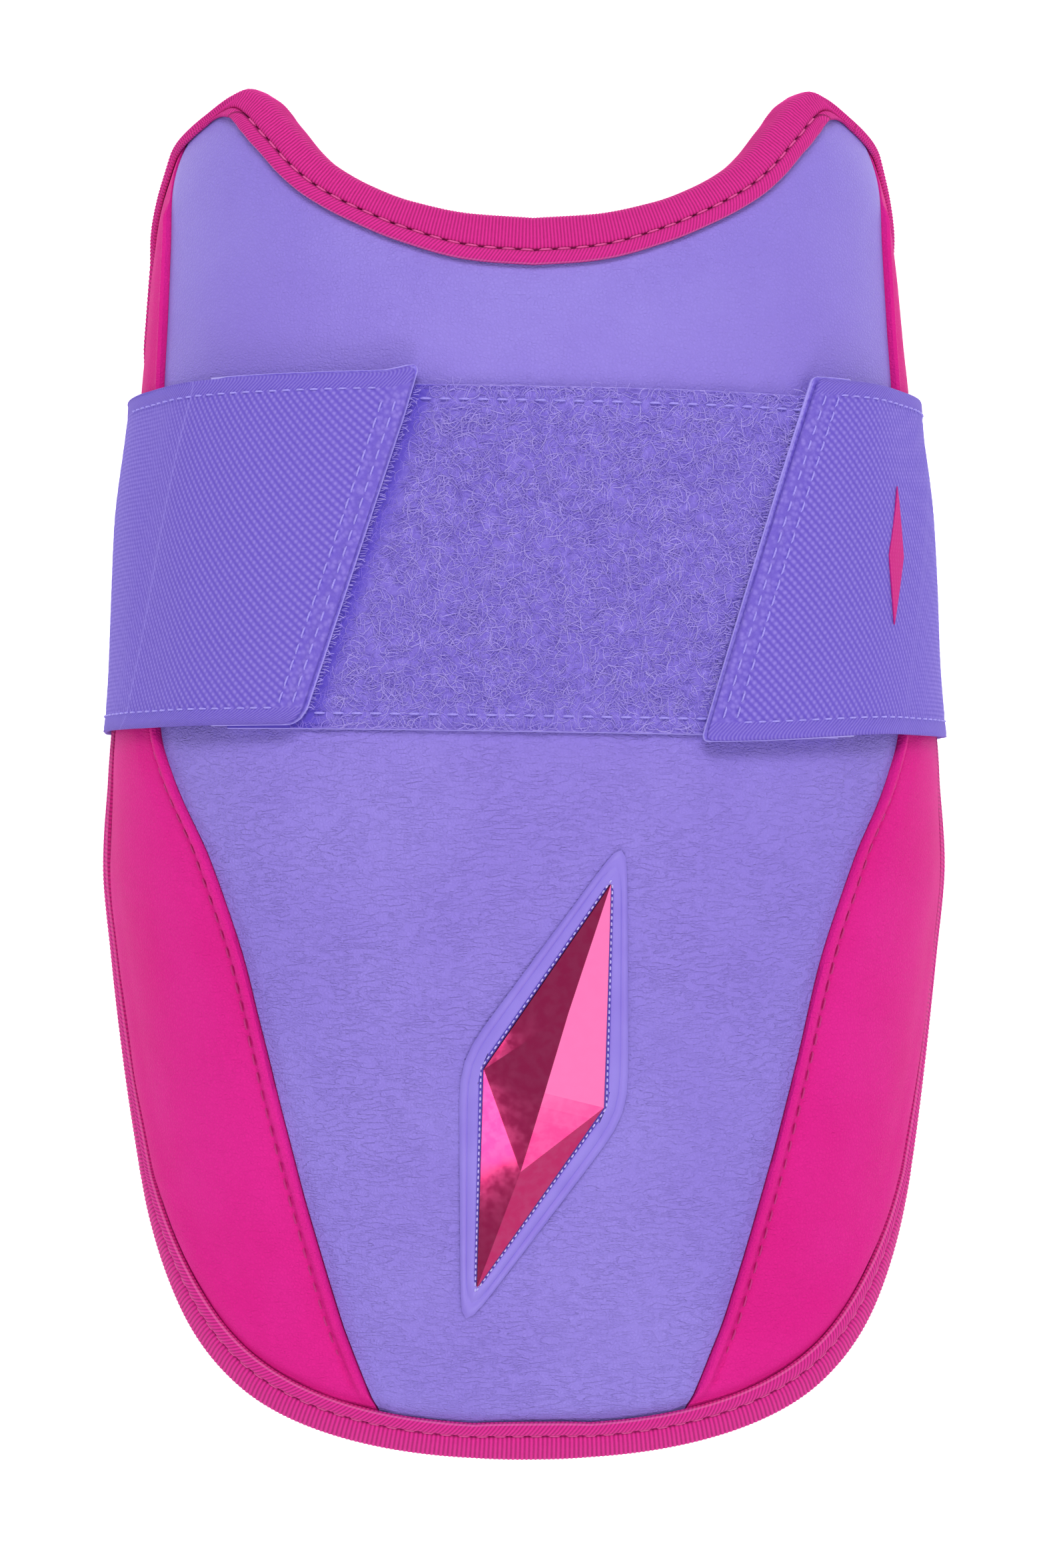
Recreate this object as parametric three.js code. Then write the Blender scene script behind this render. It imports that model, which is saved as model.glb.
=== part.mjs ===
// Batter's elbow guard, lying face up on a flat surface.
// X runs across the guard, Y along it towards the scooped end, Z up out of its face.
import * as THREE from 'three';

// Shell of the guard, over the leather, in millimetres
const guardLength = 255;
const guardWidth = 162;
const guardHeight = 62;
const scoopDepth = 26.5;
const cornerStart = 76;
const sectionPower = 2.6;
const lowerEdgePower = 2.4;
const lowerEdgeSharpness = 1.3;
const rimFlare = 2.2;
const flareEnd = -20;
const flareStartAngle = 48;
const flareFullAngle = 76;

// Layers
const leatherThickness = 1.3;
const padThickness = 10;
const rimThickness = 4;
const skinDrop = 1.6;
const taperWidth = 13;
const layerGap = 0.35;

// Knitted binding round the rim
const bindingThickness = 1;
const rimBindingFace = 7;
const shoulderBindingFace = 2.8;
const scoopBindingFace = 7.6;
const bindingBack = 4.6;
const bindingSlack = 0.8;
const bindingFaceGap = 0.45;
const innerCornerShare = 0.6;
const outerCornerShare = 0.8;

// Turned edge of the side panels where they meet the front panel
const foldWidth = 2.2;
const foldHeight = 1.2;
const foldClearance = 1;
const foldRunout = 4;

// Strap, and the hook and loop that close it
const strapWidth = 64;
const strapThickness = 1.5;
const strapCentre = 41;
const strapCornerRadius = 3.6;
const strapWallAngle = 84;
const passageMargin = 2;
const passageRunout = 10;
const loopPanelHeight = 62.6;
const loopPanelInset = 25;
const loopThickness = 1.2;
const hookThickness = 1.2;
const hookInset = 23;
const hookLip = 0.8;
const hookEndGap = 1;
const tabSlope = 16;
const leftTabTop = 21;
const leftTabBottom = 42;
const rightTabTop = 51;
const rightTabBottom = 30;

// Faceted badge on the lower front
const badgeInset = 70.5;
const badgeAcross = 1.5;
const badgeLean = 18;
const gemLength = 78;
const gemWidth = 23;
const gemRise = 3;
const gemRidge = 30;
const gemEndWidth = 0.8;
const frameBorder = 4.6;
const frameThickness = 0.8;
const frameTipShare = 0.6;

// Outline of the shell from end to end. Along is a share of the half length,
// width of the half width, crown and rim of the height, side and seam of a quarter turn.
const sections = [
  { along: -1.00, width: 0.845, crown: 0.600, rim: 0.150, side: 0.844, seam: 0.235 },
  { along: -0.91, width: 0.855, crown: 0.680, rim: 0.170, side: 0.844, seam: 0.271 },
  { along: -0.79, width: 0.864, crown: 0.766, rim: 0.190, side: 0.844, seam: 0.322 },
  { along: -0.60, width: 0.908, crown: 0.868, rim: 0.195, side: 0.850, seam: 0.367 },
  { along: -0.43, width: 0.953, crown: 0.940, rim: 0.085, side: 0.876, seam: 0.397 },
  { along: -0.27, width: 0.982, crown: 0.982, rim: 0.028, side: 0.915, seam: 0.428 },
  { along: -0.12, width: 1.000, crown: 1.000, rim: 0.016, side: 0.960, seam: 0.480 },
  { along: 0.00, width: 0.993, crown: 0.998, rim: 0.000, side: 0.990, seam: 0.562 },
  { along: 0.07, width: 0.985, crown: 0.994, rim: 0.000, side: 1.000, seam: 0.604 },
  { along: 0.17, width: 0.974, crown: 0.985, rim: 0.000, side: 1.000, seam: 0.625 },
  { along: 0.38, width: 0.960, crown: 0.968, rim: 0.000, side: 1.000, seam: 0.652 },
  { along: 0.57, width: 0.927, crown: 0.945, rim: 0.000, side: 1.000, seam: 0.676 },
  { along: 0.80, width: 0.898, crown: 0.917, rim: 0.000, side: 1.000, seam: 0.705 },
  { along: 0.92, width: 0.883, crown: 0.902, rim: 0.000, side: 1.000, seam: 0.728 },
  { along: 1.00, width: 0.867, crown: 0.887, rim: 0.000, side: 1.000, seam: 0.655 },
];

// Scooped end. Angle is a share of a quarter turn from the crown, drop of the scoop's depth.
const scoopRows = [
  { angle: 0.000, drop: 1.000 },
  { angle: 0.100, drop: 0.970 },
  { angle: 0.200, drop: 0.876 },
  { angle: 0.267, drop: 0.760 },
  { angle: 0.336, drop: 0.585 },
  { angle: 0.374, drop: 0.448 },
  { angle: 0.413, drop: 0.265 },
  { angle: 0.450, drop: 0.060 },
  { angle: 0.485, drop: 0.000 },
  { angle: 0.530, drop: 0.025 },
  { angle: 0.600, drop: 0.118 },
  { angle: 0.656, drop: 0.180 },
  { angle: 0.744, drop: 0.275 },
  { angle: 0.811, drop: 0.440 },
  { angle: 0.878, drop: 0.590 },
  { angle: 1.000, drop: 0.950 },
];

const colours = {
  purpleLeather: '#9079da',
  pinkLeather: '#de3093',
  binding: '#d3288a',
  lining: '#b8237a',
  strap: '#7a62d6',
  loop: '#7f6bdc',
  hook: '#8b78d8',
  chrome: '#e0559d',
};

const halfLength = guardLength / 2;
const halfWidth = guardWidth / 2;
const quarterTurn = 90;
const badgeAlong = badgeInset - halfLength;
const strapLow = strapCentre - strapWidth / 2;
const strapHigh = strapCentre + strapWidth / 2;
const loopPanelSpread = halfWidth - loopPanelInset;
const hookReach = halfWidth - hookInset;
const strapRide = foldHeight + layerGap;
const loopRide = layerGap;
const hookRide = loopRide + loopThickness + layerGap;
const tabRide = hookRide + hookThickness + layerGap;
const bindingReach = bindingThickness + bindingSlack;
const strapPassage = strapThickness + layerGap;
const scoopBindingShare = 0.9;
const probe = 0.25;

function clamp(value, low, high) {
  return Math.min(Math.max(value, low), high);
}

function mix(first, second, share) {
  return first + (second - first) * share;
}

function smoothStep(start, end, value) {
  const share = clamp((value - start) / (end - start), 0, 1);
  return share * share * (3 - 2 * share);
}

function sharedSlope(before, after) {
  return before * after > 0 ? 2 * before * after / (before + after) : 0;
}

// Reads one column of a table, with a smooth curve through its rows.
function readTable(rows, inputName, outputName, input) {
  const last = rows.length - 1;
  const value = clamp(input, rows[0][inputName], rows[last][inputName]);
  let row = 0;
  while (row < last - 1 && value > rows[row + 1][inputName]) {
    row += 1;
  }
  const chord = (index) => {
    const place = clamp(index, 0, last - 1);
    const rise = rows[place + 1][outputName] - rows[place][outputName];
    return rise / (rows[place + 1][inputName] - rows[place][inputName]);
  };
  const span = rows[row + 1][inputName] - rows[row][inputName];
  const t = (value - rows[row][inputName]) / span;
  const startSlope = sharedSlope(chord(row - 1), chord(row)) * span;
  const endSlope = sharedSlope(chord(row), chord(row + 1)) * span;
  const start = rows[row][outputName];
  const end = rows[row + 1][outputName];
  const cubic = 2 * start - 2 * end + startSlope + endSlope;
  const square = 3 * end - 3 * start - 2 * startSlope - endSlope;
  return ((cubic * t + square) * t + startSlope) * t + start;
}

function sectionValue(name, y) {
  return readTable(sections, 'along', name, y / halfLength);
}

function sideAngle(y) {
  return quarterTurn * sectionValue('side', y);
}

function seamAngle(y) {
  return quarterTurn * sectionValue('seam', y);
}

// Shares of the half width and of the height at an angle from the crown.
function sectionShares(angle) {
  const radians = THREE.MathUtils.degToRad(angle);
  const across = Math.sin(radians);
  const up = Math.cos(radians);
  const reach = Math.abs(across) ** sectionPower + Math.abs(up) ** sectionPower;
  const radius = reach ** (-1 / sectionPower);
  return { across: radius * across, up: radius * up };
}

function halfWidthAt(y) {
  return halfWidth * sectionValue('width', y);
}

// Height of the side wall's edge: over the binding, and over the strap where that passes below.
function rimHeight(y) {
  const offStrap = Math.max(strapLow - y, y - strapHigh);
  const beyond = smoothStep(passageMargin, passageMargin + passageRunout, offStrap);
  const lift = strapPassage * (1 - beyond);
  return bindingReach + lift + guardHeight * sectionValue('rim', y);
}

function plainPoint(angle, y) {
  const shares = sectionShares(angle);
  const rimUp = sectionShares(sideAngle(y)).up;
  const rim = rimHeight(y);
  const crown = guardHeight * sectionValue('crown', y);
  const height = rim + (crown - rim) * (shares.up - rimUp) / (1 - rimUp);
  return new THREE.Vector3(halfWidthAt(y) * shares.across, y, height);
}

// Angle at which the shell lies a given distance out from its middle plane.
function angleAcross(x, y) {
  const share = clamp(Math.abs(x) / halfWidthAt(y), 0, 1);
  const up = (1 - share ** sectionPower) ** (1 / sectionPower);
  return Math.sign(x) * THREE.MathUtils.radToDeg(Math.atan2(share, up));
}

// Columns from -2 to 2: the seams lie at -1 and 1, the side edges at -2 and 2.
function columnAngle(column, y) {
  const size = Math.abs(column);
  const seam = seamAngle(y);
  const angle = size <= 1 ? size * seam : mix(seam, sideAngle(y), size - 1);
  return Math.sign(column) * angle;
}

function lowerEdge(share) {
  const round = (1 - clamp(share, 0, 1) ** lowerEdgePower) ** (1 / lowerEdgeSharpness);
  return -cornerStart - (halfLength - cornerStart) * round;
}

function upperEdge(share) {
  return halfLength - scoopDepth * readTable(scoopRows, 'angle', 'drop', share);
}

function solveEdge(low, high, misfit) {
  let below = low;
  let above = high;
  for (let step = 0; step < 40; step += 1) {
    const middle = (below + above) / 2;
    if (misfit(middle) < 0) {
      below = middle;
    } else {
      above = middle;
    }
  }
  return (below + above) / 2;
}

function columnBottom(column) {
  return solveEdge(-halfLength, -cornerStart, (y) => (
    y - lowerEdge(Math.abs(columnAngle(column, y)) / sideAngle(y))));
}

function columnTop(column) {
  return solveEdge(halfLength - scoopDepth, halfLength, (y) => (
    y - upperEdge(Math.abs(columnAngle(column, y)) / quarterTurn)));
}

function patternPoint(column, row) {
  const y = mix(columnBottom(column), columnTop(column), row);
  return { angle: columnAngle(column, y), y };
}

const frontColumns = [0, 0.14, 0.28, 0.4, 0.5, 0.58, 0.65, 0.71, 0.77, 0.83, 0.9, 1];
const sideColumns = [1, 1.14, 1.3, 1.46, 1.62, 1.76, 1.88, 2];
const rowShares = [0, 0.02, 0.045, 0.08, 0.13, 0.19, 0.25, 0.31, 0.37, 0.43, 0.49, 0.55,
  0.61, 0.67, 0.74, 0.81, 0.87, 0.92, 0.96, 0.985, 1];

function mirrored(shares) {
  const negative = shares.filter((share) => share > 0).map((share) => -share).reverse();
  return [...negative, ...shares];
}

const bodyColumns = mirrored([...frontColumns, ...sideColumns.slice(1)]);

// The rim as a closed line, anticlockwise seen from above, starting at the left lower corner.
function makeRim() {
  const inner = rowShares.slice(1, -1);
  const backwards = [...bodyColumns].reverse();
  const bottom = bodyColumns.map((column) => patternPoint(column, 0));
  const right = inner.map((row) => patternPoint(2, row));
  const top = backwards.map((column) => patternPoint(column, 1));
  const left = [...inner].reverse().map((row) => patternPoint(-2, row));
  return [...bottom, ...right, ...top, ...left];
}

const rim = makeRim();

function patternScale(angle, y) {
  const across = plainPoint(angle - probe, y).distanceTo(plainPoint(angle + probe, y));
  const along = plainPoint(angle, y - probe).distanceTo(plainPoint(angle, y + probe));
  return { across: across / (2 * probe), along: along / (2 * probe) };
}

// Distance from a point of the shell to its rim, negative outside.
function rimDistance(angle, y) {
  const scale = patternScale(angle, y);
  let nearest = Infinity;
  let inside = false;
  for (let index = 0; index < rim.length; index += 1) {
    const start = rim[index];
    const end = rim[(index + 1) % rim.length];
    const startX = (start.angle - angle) * scale.across;
    const startY = (start.y - y) * scale.along;
    const spanX = (end.angle - start.angle) * scale.across;
    const spanY = (end.y - start.y) * scale.along;
    const lengthSquared = spanX * spanX + spanY * spanY;
    const share = clamp(-(startX * spanX + startY * spanY) / lengthSquared, 0, 1);
    nearest = Math.min(nearest, Math.hypot(startX + share * spanX, startY + share * spanY));
    const crosses = (startY > 0) !== (startY + spanY > 0);
    if (crosses && startX - startY * spanX / spanY > 0) {
      inside = !inside;
    }
  }
  return inside ? nearest : -nearest;
}

function taperShare(distance) {
  return (1 - clamp(distance / taperWidth, 0, 1)) ** 2;
}

// The leather's outer face. Its lower side edges turn outwards into the binding.
function shellPoint(angle, y) {
  const point = plainPoint(angle, y);
  const outwards = smoothStep(flareStartAngle, flareFullAngle, Math.abs(angle));
  const zone = (1 - smoothStep(flareEnd, strapLow, y)) * outwards;
  if (zone > 0) {
    point.x += Math.sign(angle) * rimFlare * zone * taperShare(rimDistance(angle, y));
  }
  return point;
}

function shellNormal(angle, y) {
  const across = shellPoint(angle + probe, y).sub(shellPoint(angle - probe, y));
  const along = shellPoint(angle, y + probe).sub(shellPoint(angle, y - probe));
  return across.cross(along).normalize();
}

function raised(angle, y, height) {
  return shellPoint(angle, y).addScaledVector(shellNormal(angle, y), height);
}

function skinHeight(distance) {
  return -skinDrop * taperShare(distance);
}

function padBack(distance) {
  const full = -(leatherThickness + layerGap + padThickness);
  const atRim = skinHeight(0) - leatherThickness - layerGap - rimThickness;
  return mix(full, atRim, taperShare(distance));
}

function geometryFrom(points, faces) {
  const geometry = new THREE.BufferGeometry();
  const places = points.flatMap((point) => [point.x, point.y, point.z]);
  geometry.setAttribute('position', new THREE.Float32BufferAttribute(places, 3));
  geometry.setIndex(faces.flat());
  geometry.computeVertexNormals();
  return geometry;
}

// A closed sheet between two grids of points. Columns run to the right, rows away.
function sheetGeometry(upper, lower) {
  const columns = upper.length;
  const rows = upper[0].length;
  const points = [...upper.flat(), ...lower.flat()];
  const top = (column, row) => column * rows + row;
  const under = (column, row) => columns * rows + top(column, row);
  const faces = [];
  const addFour = (a, b, c, d) => faces.push([a, b, c], [a, c, d]);
  for (let i = 0; i < columns - 1; i += 1) {
    for (let j = 0; j < rows - 1; j += 1) {
      const above = [top(i, j), top(i + 1, j), top(i + 1, j + 1), top(i, j + 1)];
      const below = [under(i, j), under(i, j + 1), under(i + 1, j + 1), under(i + 1, j)];
      const turned = 2 * i < columns - 1;
      addFour(...(turned ? [...above.slice(1), above[0]] : above));
      addFour(...(turned ? [...below.slice(1), below[0]] : below));
    }
  }
  for (let i = 0; i < columns - 1; i += 1) {
    addFour(top(i, 0), under(i, 0), under(i + 1, 0), top(i + 1, 0));
    addFour(top(i + 1, rows - 1), under(i + 1, rows - 1), under(i, rows - 1), top(i, rows - 1));
  }
  for (let j = 0; j < rows - 1; j += 1) {
    addFour(top(0, j + 1), under(0, j + 1), under(0, j), top(0, j));
    addFour(top(columns - 1, j), under(columns - 1, j),
      under(columns - 1, j + 1), top(columns - 1, j + 1));
  }
  return geometryFrom(points, faces);
}

// A tube through rings of points, closed by flat ends or into a loop.
function ringGeometry(rings, closed) {
  const size = rings[0].length;
  const points = rings.flat();
  const faces = [];
  const steps = closed ? rings.length : rings.length - 1;
  for (let step = 0; step < steps; step += 1) {
    const next = (step + 1) % rings.length;
    for (let corner = 0; corner < size; corner += 1) {
      const after = (corner + 1) % size;
      const a = step * size + corner;
      const b = next * size + corner;
      const c = next * size + after;
      const d = step * size + after;
      faces.push([a, b, c], [a, c, d]);
    }
  }
  return { points, faces };
}

function makePaddedBody() {
  const grid = bodyColumns.map((column) => rowShares.map((row) => patternPoint(column, row)));
  const front = grid.map((line) => line.map(({ angle, y }) => (
    raised(angle, y, skinHeight(rimDistance(angle, y)) - leatherThickness - layerGap))));
  const back = grid.map((line) => line.map(({ angle, y }) => (
    raised(angle, y, padBack(rimDistance(angle, y))))));
  return sheetGeometry(front, back);
}

function leatherSheet(grid, addedHeight) {
  const front = grid.map((line, index) => line.map(({ angle, y }) => {
    const distance = rimDistance(angle, y);
    return raised(angle, y, skinHeight(distance) + addedHeight(index, distance));
  }));
  const back = grid.map((line) => line.map(({ angle, y }) => (
    raised(angle, y, skinHeight(rimDistance(angle, y)) - leatherThickness))));
  return sheetGeometry(front, back);
}

// A point beside a seam, a length away from it, outwards if that is positive.
function besideSeam(side, row, distance) {
  const { angle, y } = patternPoint(side, row);
  const turn = distance / patternScale(angle, y).across;
  const span = distance > 0 ? sideAngle(y) - seamAngle(y) : seamAngle(y);
  return patternPoint(side * (1 + turn / span), row);
}

function makeFrontPanel() {
  const grid = mirrored(frontColumns).map((column) => rowShares.map((row) => (
    Math.abs(column) === 1 ? besideSeam(column, row, -layerGap / 2) : patternPoint(column, row))));
  return leatherSheet(grid, () => 0);
}

// Profile of the turned edge: distance from the seam and height, as shares of its size.
const foldProfile = [
  { across: 0.00, height: 0.55 },
  { across: 0.25, height: 1.00 },
  { across: 0.65, height: 0.85 },
  { across: 1.00, height: 0.00 },
];

function makeSidePanel(side) {
  const foldLines = foldProfile.map(({ across }) => rowShares.map((row) => (
    besideSeam(side, row, layerGap / 2 + across * foldWidth))));
  const wallLines = sideColumns.slice(1).map((column) => (
    rowShares.map((row) => patternPoint(side * column, row))));
  const lines = [...foldLines, ...wallLines];
  const heights = lines.map((line, index) => foldProfile[index]?.height ?? 0);
  if (side < 0) {
    lines.reverse();
    heights.reverse();
  }
  const foldStart = rimBindingFace + foldClearance;
  const clearOfBinding = (distance) => smoothStep(foldStart, foldStart + foldRunout, distance);
  return leatherSheet(lines, (index, distance) => (
    foldHeight * heights[index] * clearOfBinding(distance)));
}

// One rim station: the place, and the way into the shell square to the rim.
function rimStation(points, index) {
  const count = points.length;
  const before = points[Math.max(index - 1, 0)];
  const after = points[Math.min(index + 1, count - 1)];
  const { angle, y } = points[index];
  const scale = patternScale(angle, y);
  const alongX = (after.angle - before.angle) * scale.across;
  const alongY = (after.y - before.y) * scale.along;
  const length = Math.hypot(alongX, alongY);
  return { angle, y, scale, inX: -alongY / length, inY: alongX / length };
}

function stationPoint(station, inset, height) {
  const { angle, y, scale, inX, inY } = station;
  if (inset >= 0) {
    return raised(angle + inset * inX / scale.across, y + inset * inY / scale.along, height);
  }
  const place = shellPoint(angle, y);
  const inward = shellPoint(angle + inX / scale.across, y + inY / scale.along);
  const outward = place.clone().sub(inward).normalize();
  return raised(angle, y, height).addScaledVector(outward, -inset);
}

// Section of the binding: round the rim, from its face on the leather to its back on the pad.
function bindingRing(station, faceWidth) {
  const gap = bindingSlack;
  const reach = bindingReach;
  const faceReach = bindingFaceGap + bindingThickness;
  const face = (inset, height) => [inset, skinHeight(inset) + height];
  const back = (inset, height) => [inset, padBack(inset) - height];
  const middle = (skinHeight(0) + padBack(0)) / 2;
  const section = [
    face(faceWidth, bindingFaceGap),
    face(faceWidth / 2, bindingFaceGap),
    [-gap, skinHeight(0) + gap * innerCornerShare],
    [-gap, padBack(0) - gap * innerCornerShare],
    back(bindingBack, gap),
    back(bindingBack, reach),
    back(bindingBack / 2, reach),
    back(0, reach),
    [-reach * outerCornerShare, padBack(0) - gap],
    [-reach, middle],
    [-reach * outerCornerShare, skinHeight(0) + bindingFaceGap],
    face(0, faceReach),
    face(faceWidth / 2, faceReach),
    face(faceWidth, faceReach),
  ];
  return section.map(([inset, height]) => stationPoint(station, inset, height));
}

function bindingFaceAt(y) {
  return mix(rimBindingFace, shoulderBindingFace, smoothStep(strapLow, strapHigh, y));
}

function makeBinding(points, faceWidth) {
  const rings = points.map((point, index) => (
    bindingRing(rimStation(points, index), faceWidth(point.y))));
  const { points: corners, faces } = ringGeometry(rings, false);
  const size = rings[0].length;
  const lastStart = (rings.length - 1) * size;
  // The flat ends join each inner corner of the section to the outer ones facing it.
  const endPairs = [[0, 13], [1, 12], [2, 11], [2, 10], [2, 9], [3, 9], [3, 8], [3, 7],
    [4, 6], [4, 5]];
  endPairs.slice(0, -1).forEach(([inner, outer], index) => {
    const [nextInner, nextOuter] = endPairs[index + 1];
    const corner = nextInner === inner ? [inner, nextOuter, outer] : [inner, nextInner, outer];
    faces.push([corner[0], corner[1], corner[2]]);
    faces.push([lastStart + corner[0], lastStart + corner[2], lastStart + corner[1]]);
    if (nextInner !== inner && nextOuter !== outer) {
      faces.push([nextInner, nextOuter, outer]);
      faces.push([lastStart + nextInner, lastStart + outer, lastStart + nextOuter]);
    }
  });
  return geometryFrom(corners, faces);
}

function makeScoopBinding() {
  const columns = bodyColumns.filter((column) => Math.abs(column) <= scoopBindingShare);
  const points = [...columns].reverse().map((column) => patternPoint(column, 1));
  return makeBinding(points, () => scoopBindingFace);
}

function makeRimBinding() {
  const end = scoopBindingShare + layerGap / guardWidth * 2;
  const shoulder = [...bodyColumns.filter((column) => column > end)].reverse();
  const inner = rowShares.slice(1, -1);
  const left = [end, ...[...shoulder].reverse()].map((column) => patternPoint(-column, 1));
  const leftSide = [...inner].reverse().map((row) => patternPoint(-2, row));
  const bottom = bodyColumns.map((column) => patternPoint(column, 0));
  const rightSide = inner.map((row) => patternPoint(2, row));
  const right = [...shoulder, end].map((column) => patternPoint(column, 1));
  return makeBinding([...left, ...leftSide, ...bottom, ...rightSide, ...right], bindingFaceAt);
}

function spread(start, end, steps) {
  return Array.from({ length: steps + 1 }, (unused, step) => mix(start, end, step / steps));
}

// A flat layer on the shell, between two heights, through lines of pattern points.
function layerSheet(lines, low, high) {
  const at = (height) => lines.map((line) => line.map(({ angle, y }) => raised(angle, y, height)));
  return sheetGeometry(at(high), at(low));
}

function makeLoopPanel() {
  const heights = spread(strapCentre - loopPanelHeight / 2, strapCentre + loopPanelHeight / 2, 5);
  const lines = spread(-loopPanelSpread, loopPanelSpread, 16).map((x) => (
    heights.map((y) => ({ angle: angleAcross(x, y), y }))));
  return layerSheet(lines, loopRide, loopRide + loopThickness);
}

const tabs = {
  left: { side: -1, top: leftTabTop, bottom: leftTabBottom },
  right: { side: 1, top: rightTabTop, bottom: rightTabBottom },
};

// Distance from the middle plane to the slanted end of a tab.
function tabReach(tab, y) {
  return mix(tab.bottom, tab.top, (y - strapLow) / strapWidth);
}

const strapRows = spread(strapLow, strapHigh, 4);

function makeHookPatch(tab) {
  const shares = spread(0, 1, 6);
  const ordered = tab.side < 0 ? [...shares].reverse() : shares;
  const lines = ordered.map((share) => strapRows.map((y) => {
    const x = mix(tabReach(tab, y) - hookLip, hookReach, share);
    return { angle: angleAcross(tab.side * x, y), y };
  }));
  return layerSheet(lines, hookRide, hookRide + hookThickness);
}

// Half of the strap, from the end of its tab over the side wall to the surface below.
// Each stop holds a point of the inner and of the outer face for each row.
function strapHalf(tab) {
  const stops = [];
  const addStop = (pointsAt) => stops.push(strapRows.map(pointsAt));
  const onShell = (angle, y, ride) => ({
    inner: raised(angle, y, ride),
    outer: raised(angle, y, ride + strapThickness),
  });
  const slopeStart = hookReach + hookEndGap;
  spread(0, 1, 6).forEach((share) => addStop((y) => {
    const x = mix(tabReach(tab, y), slopeStart, share);
    return onShell(angleAcross(tab.side * x, y), y, tabRide);
  }));
  spread(0, 1, 8).slice(1).forEach((share) => addStop((y) => {
    const start = angleAcross(slopeStart, y);
    const angle = mix(start, strapWallAngle, share);
    const away = (angle - start) * patternScale(angle, y).across;
    return onShell(tab.side * angle, y, mix(tabRide, strapRide, smoothStep(0, tabSlope, away)));
  }));
  spread(0, quarterTurn, 4).forEach((turn) => addStop((y) => {
    const radians = THREE.MathUtils.degToRad(turn);
    const centreX = halfWidthAt(y) + strapRide - strapCornerRadius;
    const centreZ = strapThickness + strapCornerRadius;
    const at = (radius) => new THREE.Vector3(
      tab.side * (centreX + radius * Math.cos(radians)), y, centreZ - radius * Math.sin(radians));
    return { inner: at(strapCornerRadius), outer: at(strapCornerRadius + strapThickness) };
  }));
  return stops;
}

function makeStrap() {
  const left = strapHalf(tabs.left);
  const right = strapHalf(tabs.right);
  const stops = [...left, ...[...right].reverse()];
  const inner = stops.map((line) => line.map((point) => point.inner));
  const outer = stops.map((line) => line.map((point) => point.outer));
  return sheetGeometry(inner, outer);
}

// Turns a place on the badge, along and across its long axis, into a point on the shell.
function badgePoint(along, across, height) {
  const lean = THREE.MathUtils.degToRad(badgeLean);
  const x = badgeAcross + along * Math.sin(lean) + across * Math.cos(lean);
  const y = badgeAlong + along * Math.cos(lean) - across * Math.sin(lean);
  return raised(angleAcross(x, y), y, height);
}

const badgeCorners = [
  { along: 1, across: 0 },
  { along: 0, across: -1 },
  { along: -1, across: 0 },
  { along: 0, across: 1 },
];
const badgeSideSteps = 5;

// The badge's outline, a long lozenge, grown outwards by a border.
function badgeOutline(border) {
  const halfLong = gemLength / 2;
  const halfWide = gemWidth / 2;
  const slant = Math.hypot(halfLong, halfWide);
  const long = halfLong + border * slant / halfWide * frameTipShare;
  const wide = halfWide + border * slant / halfLong;
  return badgeCorners.flatMap((corner, index) => {
    const next = badgeCorners[(index + 1) % badgeCorners.length];
    return spread(0, 1, badgeSideSteps).slice(0, -1).map((share) => ({
      along: mix(corner.along, next.along, share) * long,
      across: mix(corner.across, next.across, share) * wide,
    }));
  });
}

function makeBadgeFrame() {
  const inner = badgeOutline(layerGap + gemEndWidth / 2);
  const outer = badgeOutline(frameBorder);
  const low = layerGap;
  const high = layerGap + frameThickness;
  const rings = outer.map((place, index) => {
    const inside = inner[index];
    return [
      badgePoint(place.along, place.across, low),
      badgePoint(place.along, place.across, high),
      badgePoint(inside.along, inside.across, high),
      badgePoint(inside.along, inside.across, low),
    ];
  });
  const { points, faces } = ringGeometry(rings, true);
  return geometryFrom(points, faces);
}

// Edge, ridge and edge of the gem at each stop along it; the ridge is level over its middle.
function makeBadgeGem() {
  const stops = spread(-1, 1, 12);
  const edge = layerGap + frameThickness;
  const lines = [-1, 0, 1].map((side) => stops.map((share) => {
    const along = share * gemLength / 2;
    const wide = mix(gemWidth, gemEndWidth, Math.abs(share)) / 2;
    const slope = (gemLength / 2 - Math.abs(along)) / ((gemLength - gemRidge) / 2);
    const rise = side === 0 ? gemRise * Math.min(slope, 1) : 0;
    return { along, across: side * wide, height: edge + rise };
  }));
  const upper = lines.map((line) => line.map((place) => (
    badgePoint(place.along, place.across, place.height))));
  const lower = lines.map((line) => line.map((place) => (
    badgePoint(place.along, place.across, layerGap))));
  return sheetGeometry(upper, lower);
}

function material(color, roughness, metalness = 0) {
  return new THREE.MeshStandardMaterial({ color, roughness, metalness });
}

const group = new THREE.Group();

function addPiece(name, geometry, look) {
  const mesh = new THREE.Mesh(geometry, look);
  mesh.name = name;
  group.add(mesh);
}

addPiece('padded_body', makePaddedBody(), material(colours.lining, 0.9));
addPiece('front_panel', makeFrontPanel(), material(colours.purpleLeather, 0.5));
addPiece('side_panel_left', makeSidePanel(-1), material(colours.pinkLeather, 0.5));
addPiece('side_panel_right', makeSidePanel(1), material(colours.pinkLeather, 0.5));
addPiece('scoop_binding', makeScoopBinding(), material(colours.binding, 0.85));
addPiece('rim_binding', makeRimBinding(), material(colours.binding, 0.85));
addPiece('loop_panel', makeLoopPanel(), material(colours.loop, 0.95));
addPiece('hook_patch_left', makeHookPatch(tabs.left), material(colours.hook, 0.6));
addPiece('hook_patch_right', makeHookPatch(tabs.right), material(colours.hook, 0.6));
addPiece('elastic_strap', makeStrap(), material(colours.strap, 0.85));
addPiece('badge_frame', makeBadgeFrame(), material(colours.purpleLeather, 0.4));
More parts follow.
